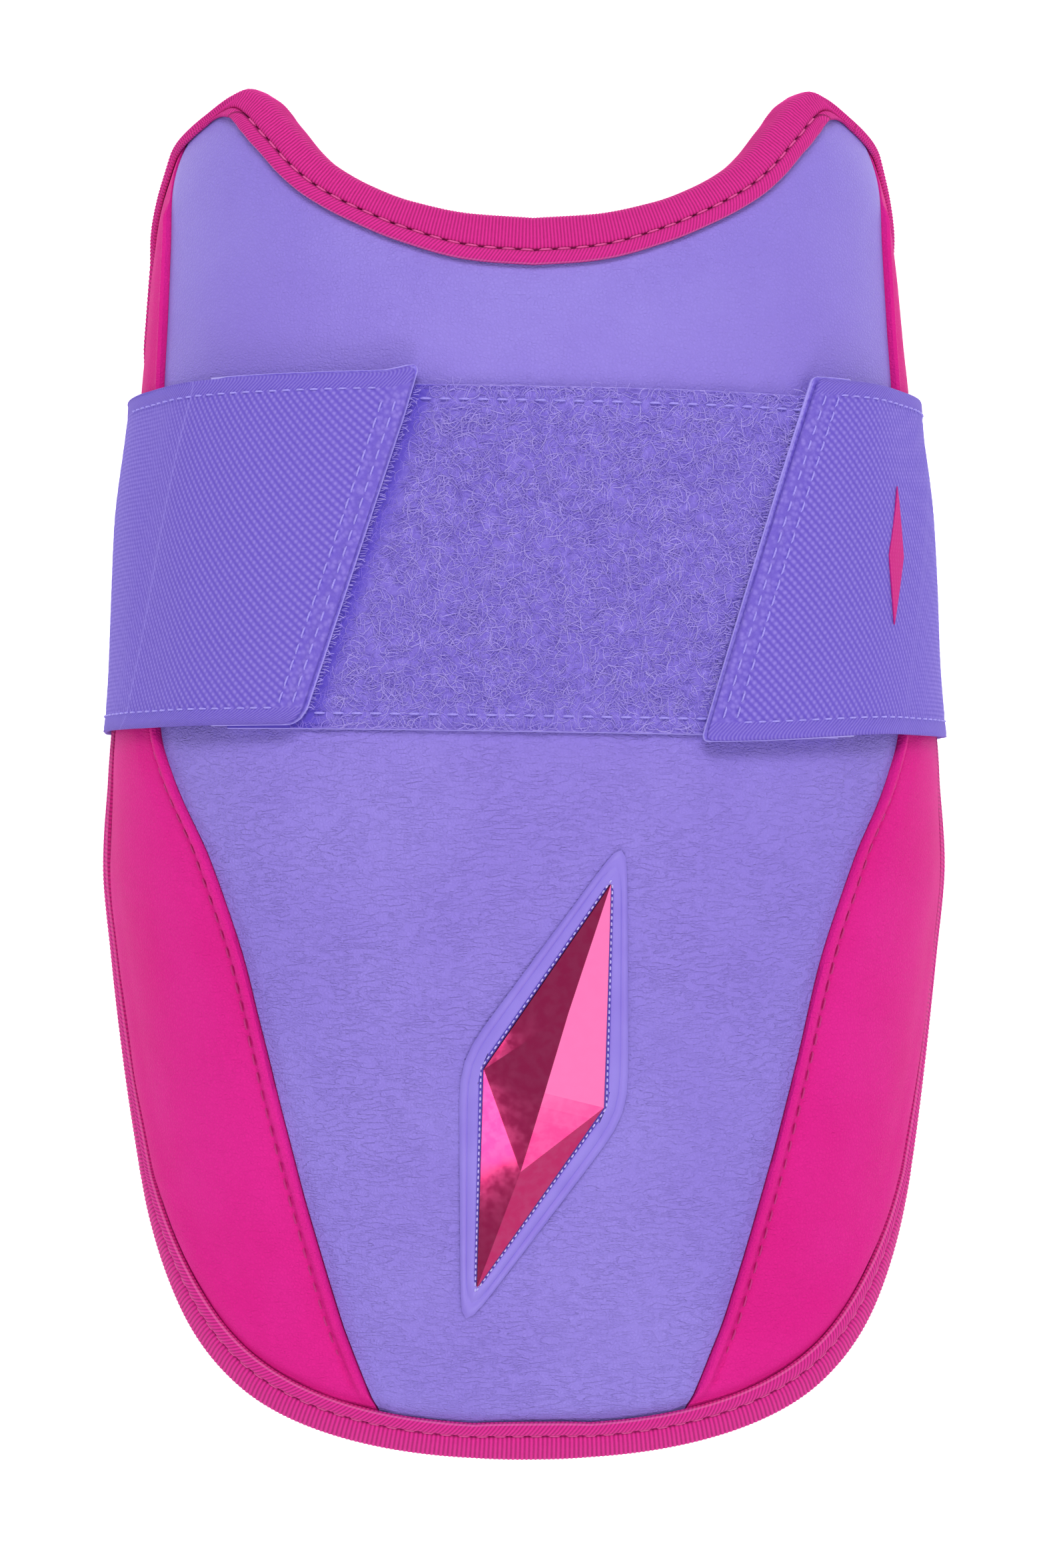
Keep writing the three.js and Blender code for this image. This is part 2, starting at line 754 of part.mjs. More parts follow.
addPiece('badge_gem', makeBadgeGem(), material(colours.chrome, 0.15, 1));

export default group;
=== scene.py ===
"""The looks of the batter's elbow guard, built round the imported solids.

Sizes are in millimetres, as in the part's source, and a mesh turns into metres when it is made.
Angles on the shell are in degrees from its crown.
"""
import math

import bmesh
import bpy
import numpy as np
from mathutils import Matrix, Vector


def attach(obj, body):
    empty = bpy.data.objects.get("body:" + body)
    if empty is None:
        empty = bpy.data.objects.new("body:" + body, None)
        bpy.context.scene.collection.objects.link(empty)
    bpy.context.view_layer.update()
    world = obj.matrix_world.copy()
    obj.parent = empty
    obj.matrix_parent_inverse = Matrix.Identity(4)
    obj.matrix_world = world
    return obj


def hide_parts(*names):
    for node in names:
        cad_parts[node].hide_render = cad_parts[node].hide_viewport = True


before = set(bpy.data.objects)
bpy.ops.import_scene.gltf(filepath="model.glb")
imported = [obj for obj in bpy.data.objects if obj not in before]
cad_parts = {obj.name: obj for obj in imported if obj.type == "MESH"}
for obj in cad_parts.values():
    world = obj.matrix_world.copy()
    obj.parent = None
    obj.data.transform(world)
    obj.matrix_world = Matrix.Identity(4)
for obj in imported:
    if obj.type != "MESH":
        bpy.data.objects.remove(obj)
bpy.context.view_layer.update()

MM = 0.001

# Shell of the guard
GUARD_LENGTH = 255.0
GUARD_WIDTH = 162.0
GUARD_HEIGHT = 62.0
SCOOP_DEPTH = 26.5
CORNER_START = 76.0
SECTION_POWER = 2.6
LOWER_EDGE_POWER = 2.4
LOWER_EDGE_SHARPNESS = 1.3
RIM_FLARE = 2.2
FLARE_END = -20.0
SHOULDER_FLARE = 0.65
SHOULDER_RUNOUT = 14.0
HORN_CLEARANCE = 8.0
HORN_RUNOUT = 22.0
FLARE_START_ANGLE = 48.0
FLARE_FULL_ANGLE = 76.0

# Layers
LEATHER_THICKNESS = 1.3
PAD_THICKNESS = 10.0
RIM_THICKNESS = 4.0
SKIN_DROP = 1.6
TAPER_WIDTH = 13.0
LAYER_GAP = 0.35

# Binding
BINDING_THICKNESS = 1.0
RIM_BINDING_FACE = 7.0
SHOULDER_BINDING_FACE = 0.6
SCOOP_BINDING_FACE = 7.6
BINDING_BACK = 4.6
BINDING_SLACK = 0.8
BINDING_FACE_GAP = 0.45
SCOOP_BINDING_SHARE = 0.9
TAPE_JOIN_GAP = 0.12
TIP_LEAN = 0.45
INNER_BAND = 2.7
RIB_PITCH = 0.85
SCOOP_RIB_PITCH = 0.62
RIB_HEIGHT = 0.14
RIB_STEPS = 4
INNER_BAND_SHARE = 0.45
CORD_HEIGHT = 0.38
GROOVE_DEPTH = 0.75
FACE_SWELL = 0.25
BULGE_POWER = 2.8

# Turned edge of the side panels
FOLD_WIDTH = 2.2
FOLD_HEIGHT = 1.2
FOLD_CLEARANCE = 1.0
FOLD_RUNOUT = 4.0
SEAM_STITCH_PLACE = 2.9
SEAM_GROOVE_DEPTH = 0.32
SEAM_GROOVE_WIDTH = 0.45
STITCH_PULL_DEPTH = 0.16
STITCH_PULL_WIDTH = 1.2

# Soft relief of the leather and the pad
PUFF_HEIGHT = 0.8
SWELL_HEIGHT = 0.5
FINE_CREASE = 0.09
BROAD_CREASE = 0.16
TUCK_DEPTH = 0.3
PAD_WAVE = 0.35

# Strap, hook and loop
STRAP_WIDTH = 64.0
STRAP_THICKNESS = 1.5
STRAP_CENTRE = 41.0
STRAP_CORNER_RADIUS = 3.6
STRAP_WALL_ANGLE = 84.0
PASSAGE_MARGIN = 2.0
PASSAGE_RUNOUT = 10.0
LOOP_PANEL_HEIGHT = 63.4
LOOP_DROP = 1.65
LOOP_TURN = 0.017
LOOP_PANEL_SPREAD = 56.0
LOOP_THICKNESS = 1.2
HOOK_THICKNESS = 1.2
HOOK_REACH = 58.0
HOOK_LIP = 0.4
HOOK_END_GAP = 1.0
TAB_SLOPE = 16.0
SELVEDGE_WIDTH = 3.0
STRAP_FLAT_LENGTH = 320.0
END_BORDER = 4.0
STRAY_HAIRS = 7
LOOP_SEWN = 2.9
HOOK_CREASE = 44.0
EDGE_SEWN = 70.0
TAB_SEAMS = (1.9, 4.3)
WEAVE_ACROSS = 0.79
WEAVE_ALONG = 0.62
WEAVE_ROW_PITCH = 1.05
WEAVE_BEAD_PITCH = 1.15
RIDGE_PITCH = 0.8
EAR_HEIGHT = 0.9
EAR_WIDTH = 2.4
ELASTIC_PITCH = 2.1
ELASTIC_HEIGHT = 0.06
SELVEDGE_HEIGHT = 0.1
SELVEDGE_GROOVE = 0.22
STRAP_WAVE = 0.14
HOOK_STEP = 0.22
NAP_HEIGHT = 0.5
LOOP_GROUND = 0.7
FIBRE_COUNT = 6200
FIBRE_RADIUS = 0.065
HOOK_RADIUS = 0.07

# Badge
BADGE_ALONG = -57.0
BADGE_ACROSS = 1.5
BADGE_LEAN = 18.0
GEM_LENGTH = 78.0
GEM_WIDTH = 23.0
GEM_RISE = 3.0
GEM_RIDGE = 30.0
GEM_END_WIDTH = 0.8
FACET_STEPS = 6
FRAME_THICKNESS = 0.8
FRAME_TIP_SHARE = 0.6

# Rhombus printed on the strap
MARK_ANGLE = 51.0
MARK_HALF_TURN = 2.1
MARK_HALF_LENGTH = 13.0
MARK_LEAN = 1.3

STITCH_PITCH = 3.4

# Camera, fitted to the photograph
CAMERA_TARGET = (-2.39, -1.73, 62.0)
CAMERA_DISTANCE = 650.0
CAMERA_LENS = 82.2
CAMERA_TILT_ACROSS = 1.944
CAMERA_TILT_ALONG = 0.924
CAMERA_ROLL = -0.113

HALF_LENGTH = GUARD_LENGTH / 2
HALF_WIDTH = GUARD_WIDTH / 2
QUARTER_TURN = 90.0
STRAP_LOW = STRAP_CENTRE - STRAP_WIDTH / 2
STRAP_HIGH = STRAP_CENTRE + STRAP_WIDTH / 2
LOOP_LOW = STRAP_CENTRE - LOOP_PANEL_HEIGHT / 2
LOOP_HIGH = STRAP_CENTRE + LOOP_PANEL_HEIGHT / 2
STRAP_RIDE = FOLD_HEIGHT + LAYER_GAP
LOOP_RIDE = LAYER_GAP
HOOK_RIDE = LOOP_RIDE + LOOP_THICKNESS + LAYER_GAP
TAB_RIDE = HOOK_RIDE + HOOK_THICKNESS + LAYER_GAP
BINDING_REACH = BINDING_THICKNESS + BINDING_SLACK
STRAP_PASSAGE = STRAP_THICKNESS + LAYER_GAP
SLOPE_START = HOOK_REACH + HOOK_END_GAP
PROBE = 0.25

SECTION_COLUMNS = ("along", "width", "crown", "rim", "side", "seam")
SECTIONS = [
    (-1.00, 0.845, 0.600, 0.150, 0.844, 0.235),
    (-0.91, 0.855, 0.680, 0.170, 0.844, 0.271),
    (-0.79, 0.864, 0.766, 0.190, 0.844, 0.322),
    (-0.60, 0.908, 0.868, 0.195, 0.850, 0.367),
    (-0.43, 0.953, 0.940, 0.085, 0.876, 0.397),
    (-0.27, 0.982, 0.982, 0.028, 0.915, 0.428),
    (-0.12, 1.000, 1.000, 0.016, 0.960, 0.480),
    (0.00, 0.993, 0.998, 0.000, 0.990, 0.562),
    (0.07, 0.985, 0.994, 0.000, 1.000, 0.604),
    (0.17, 0.974, 0.985, 0.000, 1.000, 0.625),
    (0.38, 0.960, 0.968, 0.000, 1.000, 0.652),
    (0.57, 0.927, 0.945, 0.000, 1.000, 0.676),
    (0.80, 0.898, 0.917, 0.000, 1.000, 0.705),
    (0.92, 0.883, 0.902, 0.000, 1.000, 0.728),
    (1.00, 0.867, 0.887, 0.000, 1.000, 0.655),
]

SCOOP_COLUMNS = ("angle", "drop")
SCOOP_ROWS = [
    (0.000, 1.000),
    (0.100, 0.970),
    (0.200, 0.876),
    (0.267, 0.760),
    (0.336, 0.585),
    (0.374, 0.448),
    (0.413, 0.275),
    (0.433, 0.195),
    (0.450, 0.122),
    (0.472, 0.050),
    (0.503, 0.000),
    (0.530, 0.022),
    (0.600, 0.118),
    (0.656, 0.180),
    (0.744, 0.275),
    (0.811, 0.440),
    (0.878, 0.590),
    (1.000, 0.950),
]

FOLD_COLUMNS = ("across", "height")
FOLD_PROFILE = [(0.00, 0.55), (0.25, 1.00), (0.65, 0.85), (1.00, 0.00)]

# How far each tab's slanted end is from the middle plane, at its bottom and at its top
TABS = {
    "left": {"side": -1, "bottom": 42.0, "top": 21.0, "low_round": 3.0, "high_round": 1.4, "droop": 0.0},
    "right": {"side": 1, "bottom": 30.0, "top": 51.0, "low_round": 1.4, "high_round": 1.2, "droop": 3.2},
}

# Cross section of the badge's frame: distance out from the stone, height over the leather
BADGE_PROFILE = [
    (0.12, 0.35),
    (0.12, 0.60),
    (0.80, 0.60),
    (0.95, 0.74),
    (1.30, 0.76),
    (2.85, 0.72),
    (3.00, 0.58),
    (3.20, 0.72),
    (3.55, 0.88),
    (3.95, 0.86),
    (4.30, 0.66),
    (4.60, 0.35),
]

# Pitch, length and radius of each kind of stitch
STITCHES = {
    "binding": (STITCH_PITCH, 2.30, 0.22),
    "seam": (STITCH_PITCH, 2.30, 0.20),
    "loop": (3.50, 1.90, 0.21),
    "tab": (3.10, 2.10, 0.18),
    "selvedge": (2.70, 1.50, 0.18),
    "badge": (1.15, 0.62, 0.17),
}

# Lines of points on the side panels beside the seam, as distances from it
SEAM_LINES = (0, 0.12, 0.28, 0.5, 0.8, 1.15, 1.5, 1.8, 2.05, 2.3, 2.55, 2.8, 3.05, 3.3, 3.6, 4.2)
PANEL_ROWS = np.concatenate([[0.0], np.linspace(0.003, 0.997, 216), [1.0]])

# The tape's cross section: shares of its inner band, shares of its outer part, turns round the rim
BAND_SHARES = np.array([0.0, 0.02, 0.14, 0.32, 0.52, 0.72, 0.88])
OUTER_SHARES = np.array([0.0, 0.1, 0.25, 0.5, 0.75, 0.93])
BULGE_TURNS = np.radians(np.array([72, 54, 36, 18, 0, -18, -36, -54, -72]))

# Soft boxes round the guard: name, place and size in metres, power in watts
LIGHTS = [
    ("left_box", (-1.1, -0.3, 0.85), (0.8, 0.9), 3.9),
    ("right_box", (0.8, -0.55, 1.0), (1.6, 0.8), 2.95),
    ("top_box", (0.0, 0.75, 1.1), (0.8, 0.4), 8.8),
    ("low_box", (0.0, -0.95, 0.85), (0.5, 0.4), 4.0),
]
LIGHT_TARGET = (0.0, 0.0, 0.04)
ROOM_SHADE = {"From Min": -0.5, "From Max": 0.15, "To Min": 0.24, "To Max": 0.52}
FLOOR_REACH = 6.0
FLOOR_LEVEL = -0.0003


def mix(first, second, share):
    return first + (second - first) * share


def smooth_step(start, end, value):
    share = np.clip((value - start) / (end - start), 0.0, 1.0)
    return share * share * (3.0 - 2.0 * share)


def read_table(rows, columns, name, values):
    """One column of a table at each value, on a smooth curve through its rows."""
    table = np.array(rows)
    inputs = table[:, 0]
    outputs = table[:, columns.index(name)]
    chords = np.diff(outputs) / np.diff(inputs)
    before = np.concatenate([chords[:1], chords])
    after = np.concatenate([chords, chords[-1:]])
    alike = before * after > 0
    slopes = np.where(alike, 2 * before * after / np.where(alike, before + after, 1), 0)
    values = np.clip(values, inputs[0], inputs[-1])
    row = np.clip(np.searchsorted(inputs, values, side="right") - 1, 0, len(inputs) - 2)
    span = inputs[row + 1] - inputs[row]
    t = (values - inputs[row]) / span
    start, end = outputs[row], outputs[row + 1]
    start_slope, end_slope = slopes[row] * span, slopes[row + 1] * span
    cubic = 2 * start - 2 * end + start_slope + end_slope
    square = 3 * end - 3 * start - 2 * start_slope - end_slope
    return ((cubic * t + square) * t + start_slope) * t + start


def section(name, y):
    return read_table(SECTIONS, SECTION_COLUMNS, name, y / HALF_LENGTH)


def side_angle(y):
    return QUARTER_TURN * section("side", y)


def seam_angle(y):
    return QUARTER_TURN * section("seam", y)


def half_width_at(y):
    return HALF_WIDTH * section("width", y)


def section_shares(angle):
    """Shares of the half width and of the height at an angle from the crown."""
    across = np.sin(np.radians(angle))
    up = np.cos(np.radians(angle))
    reach = np.abs(across) ** SECTION_POWER + np.abs(up) ** SECTION_POWER
    radius = reach ** (-1 / SECTION_POWER)
    return radius * across, radius * up


def rim_height(y):
    off_strap = np.maximum(STRAP_LOW - y, y - STRAP_HIGH)
    beyond = smooth_step(PASSAGE_MARGIN, PASSAGE_MARGIN + PASSAGE_RUNOUT, off_strap)
    return BINDING_REACH + STRAP_PASSAGE * (1 - beyond) + GUARD_HEIGHT * section("rim", y)


def plain_point(angle, y):
    across, up = section_shares(angle)
    rim_up = section_shares(side_angle(y))[1]
    rim = rim_height(y)
    crown = GUARD_HEIGHT * section("crown", y)
    height = rim + (crown - rim) * (up - rim_up) / (1 - rim_up)
    return np.stack([half_width_at(y) * across, y, height], axis=-1)


def angle_across(x, y):
    """Angle at which the shell lies a given distance out from its middle plane."""
    share = np.clip(np.abs(x) / half_width_at(y), 0.0, 1.0)
    up = (1 - share**SECTION_POWER) ** (1 / SECTION_POWER)
    return np.sign(x) * np.degrees(np.arctan2(share, up))


def column_angle(column, y):
    """Angle of a column: the seams are columns -1 and 1, the side edges -2 and 2."""
    size = np.abs(column)
    seam = seam_angle(y)
    beyond = mix(seam, side_angle(y), size - 1)
    return np.sign(column) * np.where(size <= 1, size * seam, beyond)


def lower_edge(share):
    power = 1 - np.clip(share, 0.0, 1.0) ** LOWER_EDGE_POWER
    return -CORNER_START - (HALF_LENGTH - CORNER_START) * power ** (1 / LOWER_EDGE_SHARPNESS)


def upper_edge(share):
    return HALF_LENGTH - SCOOP_DEPTH * read_table(SCOOP_ROWS, SCOOP_COLUMNS, "drop", share)


def solve_edge(low, high, misfit):
    """Where a rising misfit is zero, for many columns at once."""
    for _ in range(30):
        middle = (low + high) / 2
        short = misfit(middle) < 0
        low = np.where(short, middle, low)
        high = np.where(short, high, middle)
    return (low + high) / 2


def pattern_point(column, row):
    """Angle and place along the guard for a column and a row share of its pattern."""
    column = np.asarray(column, float)
    bottom = solve_edge(
        np.full(column.shape, -HALF_LENGTH),
        np.full(column.shape, -CORNER_START),
        lambda y: y - lower_edge(np.abs(column_angle(column, y)) / side_angle(y)),
    )
    top = solve_edge(
        np.full(column.shape, HALF_LENGTH - SCOOP_DEPTH),
        np.full(column.shape, HALF_LENGTH),
        lambda y: y - upper_edge(np.abs(column_angle(column, y)) / QUARTER_TURN),
    )
    y = mix(bottom, top, row)
    return column_angle(column, y), y


def pattern_grid(columns, rows):
    return pattern_point(*np.meshgrid(columns, rows, indexing="ij"))


def walk(*legs):
    """Columns and rows along straight legs of the pattern: (column, row) to (column, row)."""
    columns = np.concatenate([np.linspace(start[0], end[0], count) for start, end, count in legs])
    rows = np.concatenate([np.linspace(start[1], end[1], count) for start, end, count in legs])
    return columns, rows


def closed_rim():
    bottom = ((-2, 0), (2, 0), 100)
    right = ((2, 0), (2, 1), 50)
    top = ((2, 1), (-2, 1), 160)
    left = ((-2, 1), (-2, 0), 50)
    angle, y = pattern_point(*walk(bottom, right, top, left))
    return np.stack([angle, y], axis=1)


RIM = closed_rim()


def pattern_scale(angle, y):
    """Millimetres for each degree across the shell, and for each millimetre along it."""
    across = plain_point(angle + PROBE, y) - plain_point(angle - PROBE, y)
    along = plain_point(angle, y + PROBE) - plain_point(angle, y - PROBE)
    lengths = np.linalg.norm(across, axis=-1), np.linalg.norm(along, axis=-1)
    return lengths[0] / (2 * PROBE), lengths[1] / (2 * PROBE)


def rim_distance(angle, y):
    """Distance from points of the shell to its rim, negative outside."""
    across, along = pattern_scale(angle, y)
    shape = np.shape(angle)
    found = []
    places = [np.ravel(value) for value in np.broadcast_arrays(angle, y, across, along)]
    ends = np.roll(RIM, -1, axis=0)
    for first in range(0, places[0].size, 4000):
        turn, place, wide, long = (value[first:first + 4000, None] for value in places)
        start_x = (RIM[:, 0] - turn) * wide
        start_y = (RIM[:, 1] - place) * long
        span_x = (ends[:, 0] - RIM[:, 0]) * wide
        span_y = (ends[:, 1] - RIM[:, 1]) * long
        squared = np.maximum(span_x**2 + span_y**2, 1e-9)
        share = np.clip(-(start_x * span_x + start_y * span_y) / squared, 0.0, 1.0)
        nearest = np.hypot(start_x + share * span_x, start_y + share * span_y).min(axis=1)
        crosses = (start_y > 0) != (start_y + span_y > 0)
        slope = span_x / np.where(np.abs(span_y) < 1e-9, 1e-9, span_y)
        inside = (crosses & (start_x - start_y * slope > 0)).sum(axis=1) % 2 == 1
        found.append(np.where(inside, nearest, -nearest))
    return np.concatenate(found).reshape(shape)


def taper_share(distance):
    return (1 - np.clip(distance / TAPER_WIDTH, 0.0, 1.0)) ** 2


def shell_point(angle, y):
    point = plain_point(angle, y)
    outwards = smooth_step(FLARE_START_ANGLE, FLARE_FULL_ANGLE, np.abs(angle))
    shoulder = smooth_step(STRAP_HIGH, STRAP_HIGH + SHOULDER_RUNOUT, y)
    shoulder = shoulder * smooth_step(HALF_LENGTH - HORN_CLEARANCE, HALF_LENGTH - HORN_RUNOUT, y)
    zone = (1 - smooth_step(FLARE_END, STRAP_LOW, y) + SHOULDER_FLARE * shoulder) * outwards
    flared = zone > 0
    if flared.any():
        taper = taper_share(rim_distance(angle[flared], y[flared]))
        point[flared, 0] += np.sign(angle[flared]) * RIM_FLARE * zone[flared] * taper
    return point


def unit(vectors):
    return vectors / np.maximum(np.linalg.norm(vectors, axis=-1, keepdims=True), 1e-12)


def surface(angle, y):
    """The shell's points and its outward normals."""
    angle, y = (np.array(value) for value in np.broadcast_arrays(angle, y))
    across = shell_point(angle + PROBE, y) - shell_point(angle - PROBE, y)
    along = shell_point(angle, y + PROBE) - shell_point(angle, y - PROBE)
    return shell_point(angle, y), unit(np.cross(across, along))


def surface_across(x, y):
    """The surface at distances out from the shell's middle plane."""
    return surface(angle_across(x, y), y)


def lift(point, normal, height):
    return point + normal * np.asarray(height)[..., None]


def raised(angle, y, height):
    return lift(*surface(angle, y), height)


def skin_height(distance):
    return -SKIN_DROP * taper_share(distance)


def pad_back(distance):
    full = -(LEATHER_THICKNESS + LAYER_GAP + PAD_THICKNESS)
    at_rim = skin_height(0.0) - LEATHER_THICKNESS - LAYER_GAP - RIM_THICKNESS
    return mix(full, at_rim, taper_share(distance))


def ripples(x, y, wavelengths, seed):
    """Gentle uneven waves, about -1 to 1, from a few crossing sine waves."""
    random = np.random.default_rng(seed)
    total = 0.0
    for wavelength in wavelengths:
        heading = random.uniform(0, math.pi)
        phase = random.uniform(0, 2 * math.pi)
        bend = random.uniform(0.5, 1.5) * np.sin(x / wavelength + y / (2.3 * wavelength))
        distance = x * math.cos(heading) + y * math.sin(heading)
        total = total + np.sin(2 * math.pi * distance / wavelength + phase + bend)
    return total / len(wavelengths)


def edge_round(distance, thickness):
    """How far each face of a sheet draws in beside its edge, so that the edge is round."""
    radius = 0.48 * thickness
    share = 1 - np.clip(distance / radius, 0.0, 1.0)
    return radius * (1 - np.sqrt(1 - share**2))


def edge_spaced(start, end, step):
    """Even stops from start to end, with closer ones beside both ends."""
    close = np.array([0.0, 0.06, 0.2, 0.42, 0.72, 1.2])
    count = max(int(round((end - start - 2 * close[-1]) / step)), 1)
    middle = np.linspace(start + close[-1], end - close[-1], count + 1)
    return np.concatenate([start + close[:-1], middle, (end - close[:-1])[::-1]])


def grid_faces(columns, rows):
    """Two grids of four-sided faces, one above the other, closed round their edges."""
    index = np.arange(columns * rows).reshape(columns, rows)
    under = index + columns * rows

    def four(a, b, c, d):
        return np.stack([a, b, c, d], axis=-1).reshape(-1, 4)

    return np.concatenate([
        four(index[:-1, :-1], index[1:, :-1], index[1:, 1:], index[:-1, 1:]),
        four(under[:-1, :-1], under[:-1, 1:], under[1:, 1:], under[1:, :-1]),
        four(index[:-1, 0], under[:-1, 0], under[1:, 0], index[1:, 0]),
        four(index[1:, -1], under[1:, -1], under[:-1, -1], index[:-1, -1]),
        four(index[0, 1:], under[0, 1:], under[0, :-1], index[0, :-1]),
        four(index[-1, :-1], under[-1, :-1], under[-1, 1:], index[-1, 1:]),
    ])


def signed_volume(points, faces):
    """Six times the volume inside the faces; it is negative where they are inside out."""
    total = 0.0
    for size in (3, 4):
        alike = np.array([face for face in faces if len(face) == size])
        for corner in range(1, size - 1) if len(alike) else ():
            a, b, c = points[alike[:, 0]], points[alike[:, corner]], points[alike[:, corner + 1]]
            total += float((a * np.cross(b, c)).sum())
    return total


def add_object(name, data):
    added = bpy.data.objects.new(name, data)
    bpy.context.scene.collection.objects.link(added)
    return added


def make_piece(name, points, faces, look, pattern, sharp=40.0):
    """A piece of the guard from points in millimetres; pattern is its flat coordinates."""
    if signed_volume(points, faces) < 0:
        faces = [face[::-1] for face in faces]
    mesh = bpy.data.meshes.new(name)
    mesh.from_pydata((points * MM).tolist(), [], [list(map(int, face)) for face in faces])
    corners = np.empty(len(mesh.loops), np.int32)
    mesh.loops.foreach_get("vertex_index", corners)
    layer = mesh.uv_layers.new(name="Pattern")
    layer.uv.foreach_set("vector", pattern[corners].astype(np.float32).ravel())
    mesh.shade_smooth()
    mesh.set_sharp_from_angle(angle=math.radians(sharp))
    mesh.materials.append(look)
    piece = add_object(name, mesh)
    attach(piece, "root")
    return piece


def make_sheet(name, upper, lower, look, across, along):
    """A closed sheet between two grids of points; across and along are flat coordinates."""
    points = np.concatenate([upper.reshape(-1, 3), lower.reshape(-1, 3)])
    flat = np.stack(np.broadcast_arrays(across, along), axis=-1).reshape(-1, 2)
    faces = grid_faces(*upper.shape[:2])
    return make_piece(name, points, faces, look, np.concatenate([flat, flat]))


def run_lengths(points, axis):
    """Length along each line of a grid of points."""
    steps = np.linalg.norm(np.diff(points, axis=axis), axis=-1)
    start = np.zeros_like(np.take(steps, [0], axis=axis))
    return np.concatenate([start, np.cumsum(steps, axis=axis)], axis=axis)


class Look:
    """A material and the nodes that colour it and raise its surface."""

    def __init__(self, name, roughness, **sockets):
        self.material = bpy.data.materials.new(name)
        self.material.use_nodes = True
        self.nodes = self.material.node_tree.nodes
        self.links = self.material.node_tree.links
        self.shader = self.nodes["Principled BSDF"]
        self.shader.inputs["Roughness"].default_value = roughness
        for socket, value in sockets.items():
            self.shader.inputs[socket.replace("_", " ")].default_value = value
        self.normal = None

    def add(self, kind, inputs=None, **settings):
        node = self.nodes.new(kind)
        for name, value in settings.items():
            setattr(node, name, value)
        for key, value in (inputs or {}).items():
            if isinstance(value, bpy.types.NodeSocket):
                self.links.new(value, node.inputs[key])
            else:
                node.inputs[key].default_value = value
        return node

    def math(self, operation, first, second=0.0, third=0.0):
        values = {0: first, 1: second, 2: third}
        return self.add("ShaderNodeMath", values, operation=operation).outputs[0]

    def times(self, first, second):
        return self.math("MULTIPLY", first, second)

    def plus(self, first, second):
        return self.math("ADD", first, second)

    def minus(self, first, second):
        return self.math("SUBTRACT", first, second)

    def times_plus(self, value, factor, added):
        return self.math("MULTIPLY_ADD", value, factor, added)

    def size(self, value):
        return self.math("ABSOLUTE", value)

    def place(self, scale=(1, 1, 1)):
        """The object's own coordinates in metres, stretched by scale."""
        place = self.add("ShaderNodeTexCoord").outputs["Object"]
        return self.add("ShaderNodeMapping", {"Vector": place, "Scale": scale}).outputs[0]

    def pattern(self):
        """The piece's flat coordinates in millimetres, across and along."""
        flat = self.add("ShaderNodeUVMap", uv_map="Pattern").outputs[0]
        parts = self.add("ShaderNodeSeparateXYZ", {0: flat})
        return parts.outputs[0], parts.outputs[1]

    def noise(self, vector, scale, detail=3.0, roughness=0.55):
        inputs = {"Vector": vector, "Scale": scale, "Detail": detail, "Roughness": roughness}
        return self.add("ShaderNodeTexNoise", inputs).outputs[0]

    def cells(self, vector, scale, feature="DISTANCE_TO_EDGE"):
        inputs = {"Vector": vector, "Scale": scale}
        return self.add("ShaderNodeTexVoronoi", inputs, feature=feature).outputs[0]

    def ramp(self, factor, start, end, low=0.0, high=1.0):
        inputs = {"Value": factor, "From Min": start, "From Max": end, "To Min": low, "To Max": high}
        return self.add("ShaderNodeMapRange", inputs, interpolation_type="SMOOTHSTEP").outputs[0]

    def wave(self, value, pitch, offset=0.0):
        """A smooth wave from 0 to 1 that repeats every pitch."""
        turned = self.times_plus(value, 2 * math.pi / pitch, offset)
        return self.times_plus(self.math("SINE", turned), 0.5, 0.5)

    def blend(self, factor, first, second):
        inputs = {0: factor, 6: first, 7: second}
        return self.add("ShaderNodeMix", inputs, data_type="RGBA").outputs[2]

    def colour(self, value):
        self.links.new(value, self.shader.inputs["Base Color"])

    def roughness(self, value):
        self.links.new(value, self.shader.inputs["Roughness"])

    def bump(self, height, depth):
        """Raises the surface by depth millimetres where height is 1."""
        inputs = {"Height": height, "Distance": depth * MM, "Strength": 1.0}
        if self.normal is not None:
            inputs["Normal"] = self.normal
        self.normal = self.add("ShaderNodeBump", inputs).outputs[0]
        self.links.new(self.normal, self.shader.inputs["Normal"])


def rgb(code):
    """A colour from its web code, in linear light."""
    steps = [int(code[start:start + 2], 16) / 255 for start in (1, 3, 5)]
    return (*[s / 12.92 if s <= 0.04045 else ((s + 0.055) / 1.055) ** 2.4 for s in steps], 1.0)


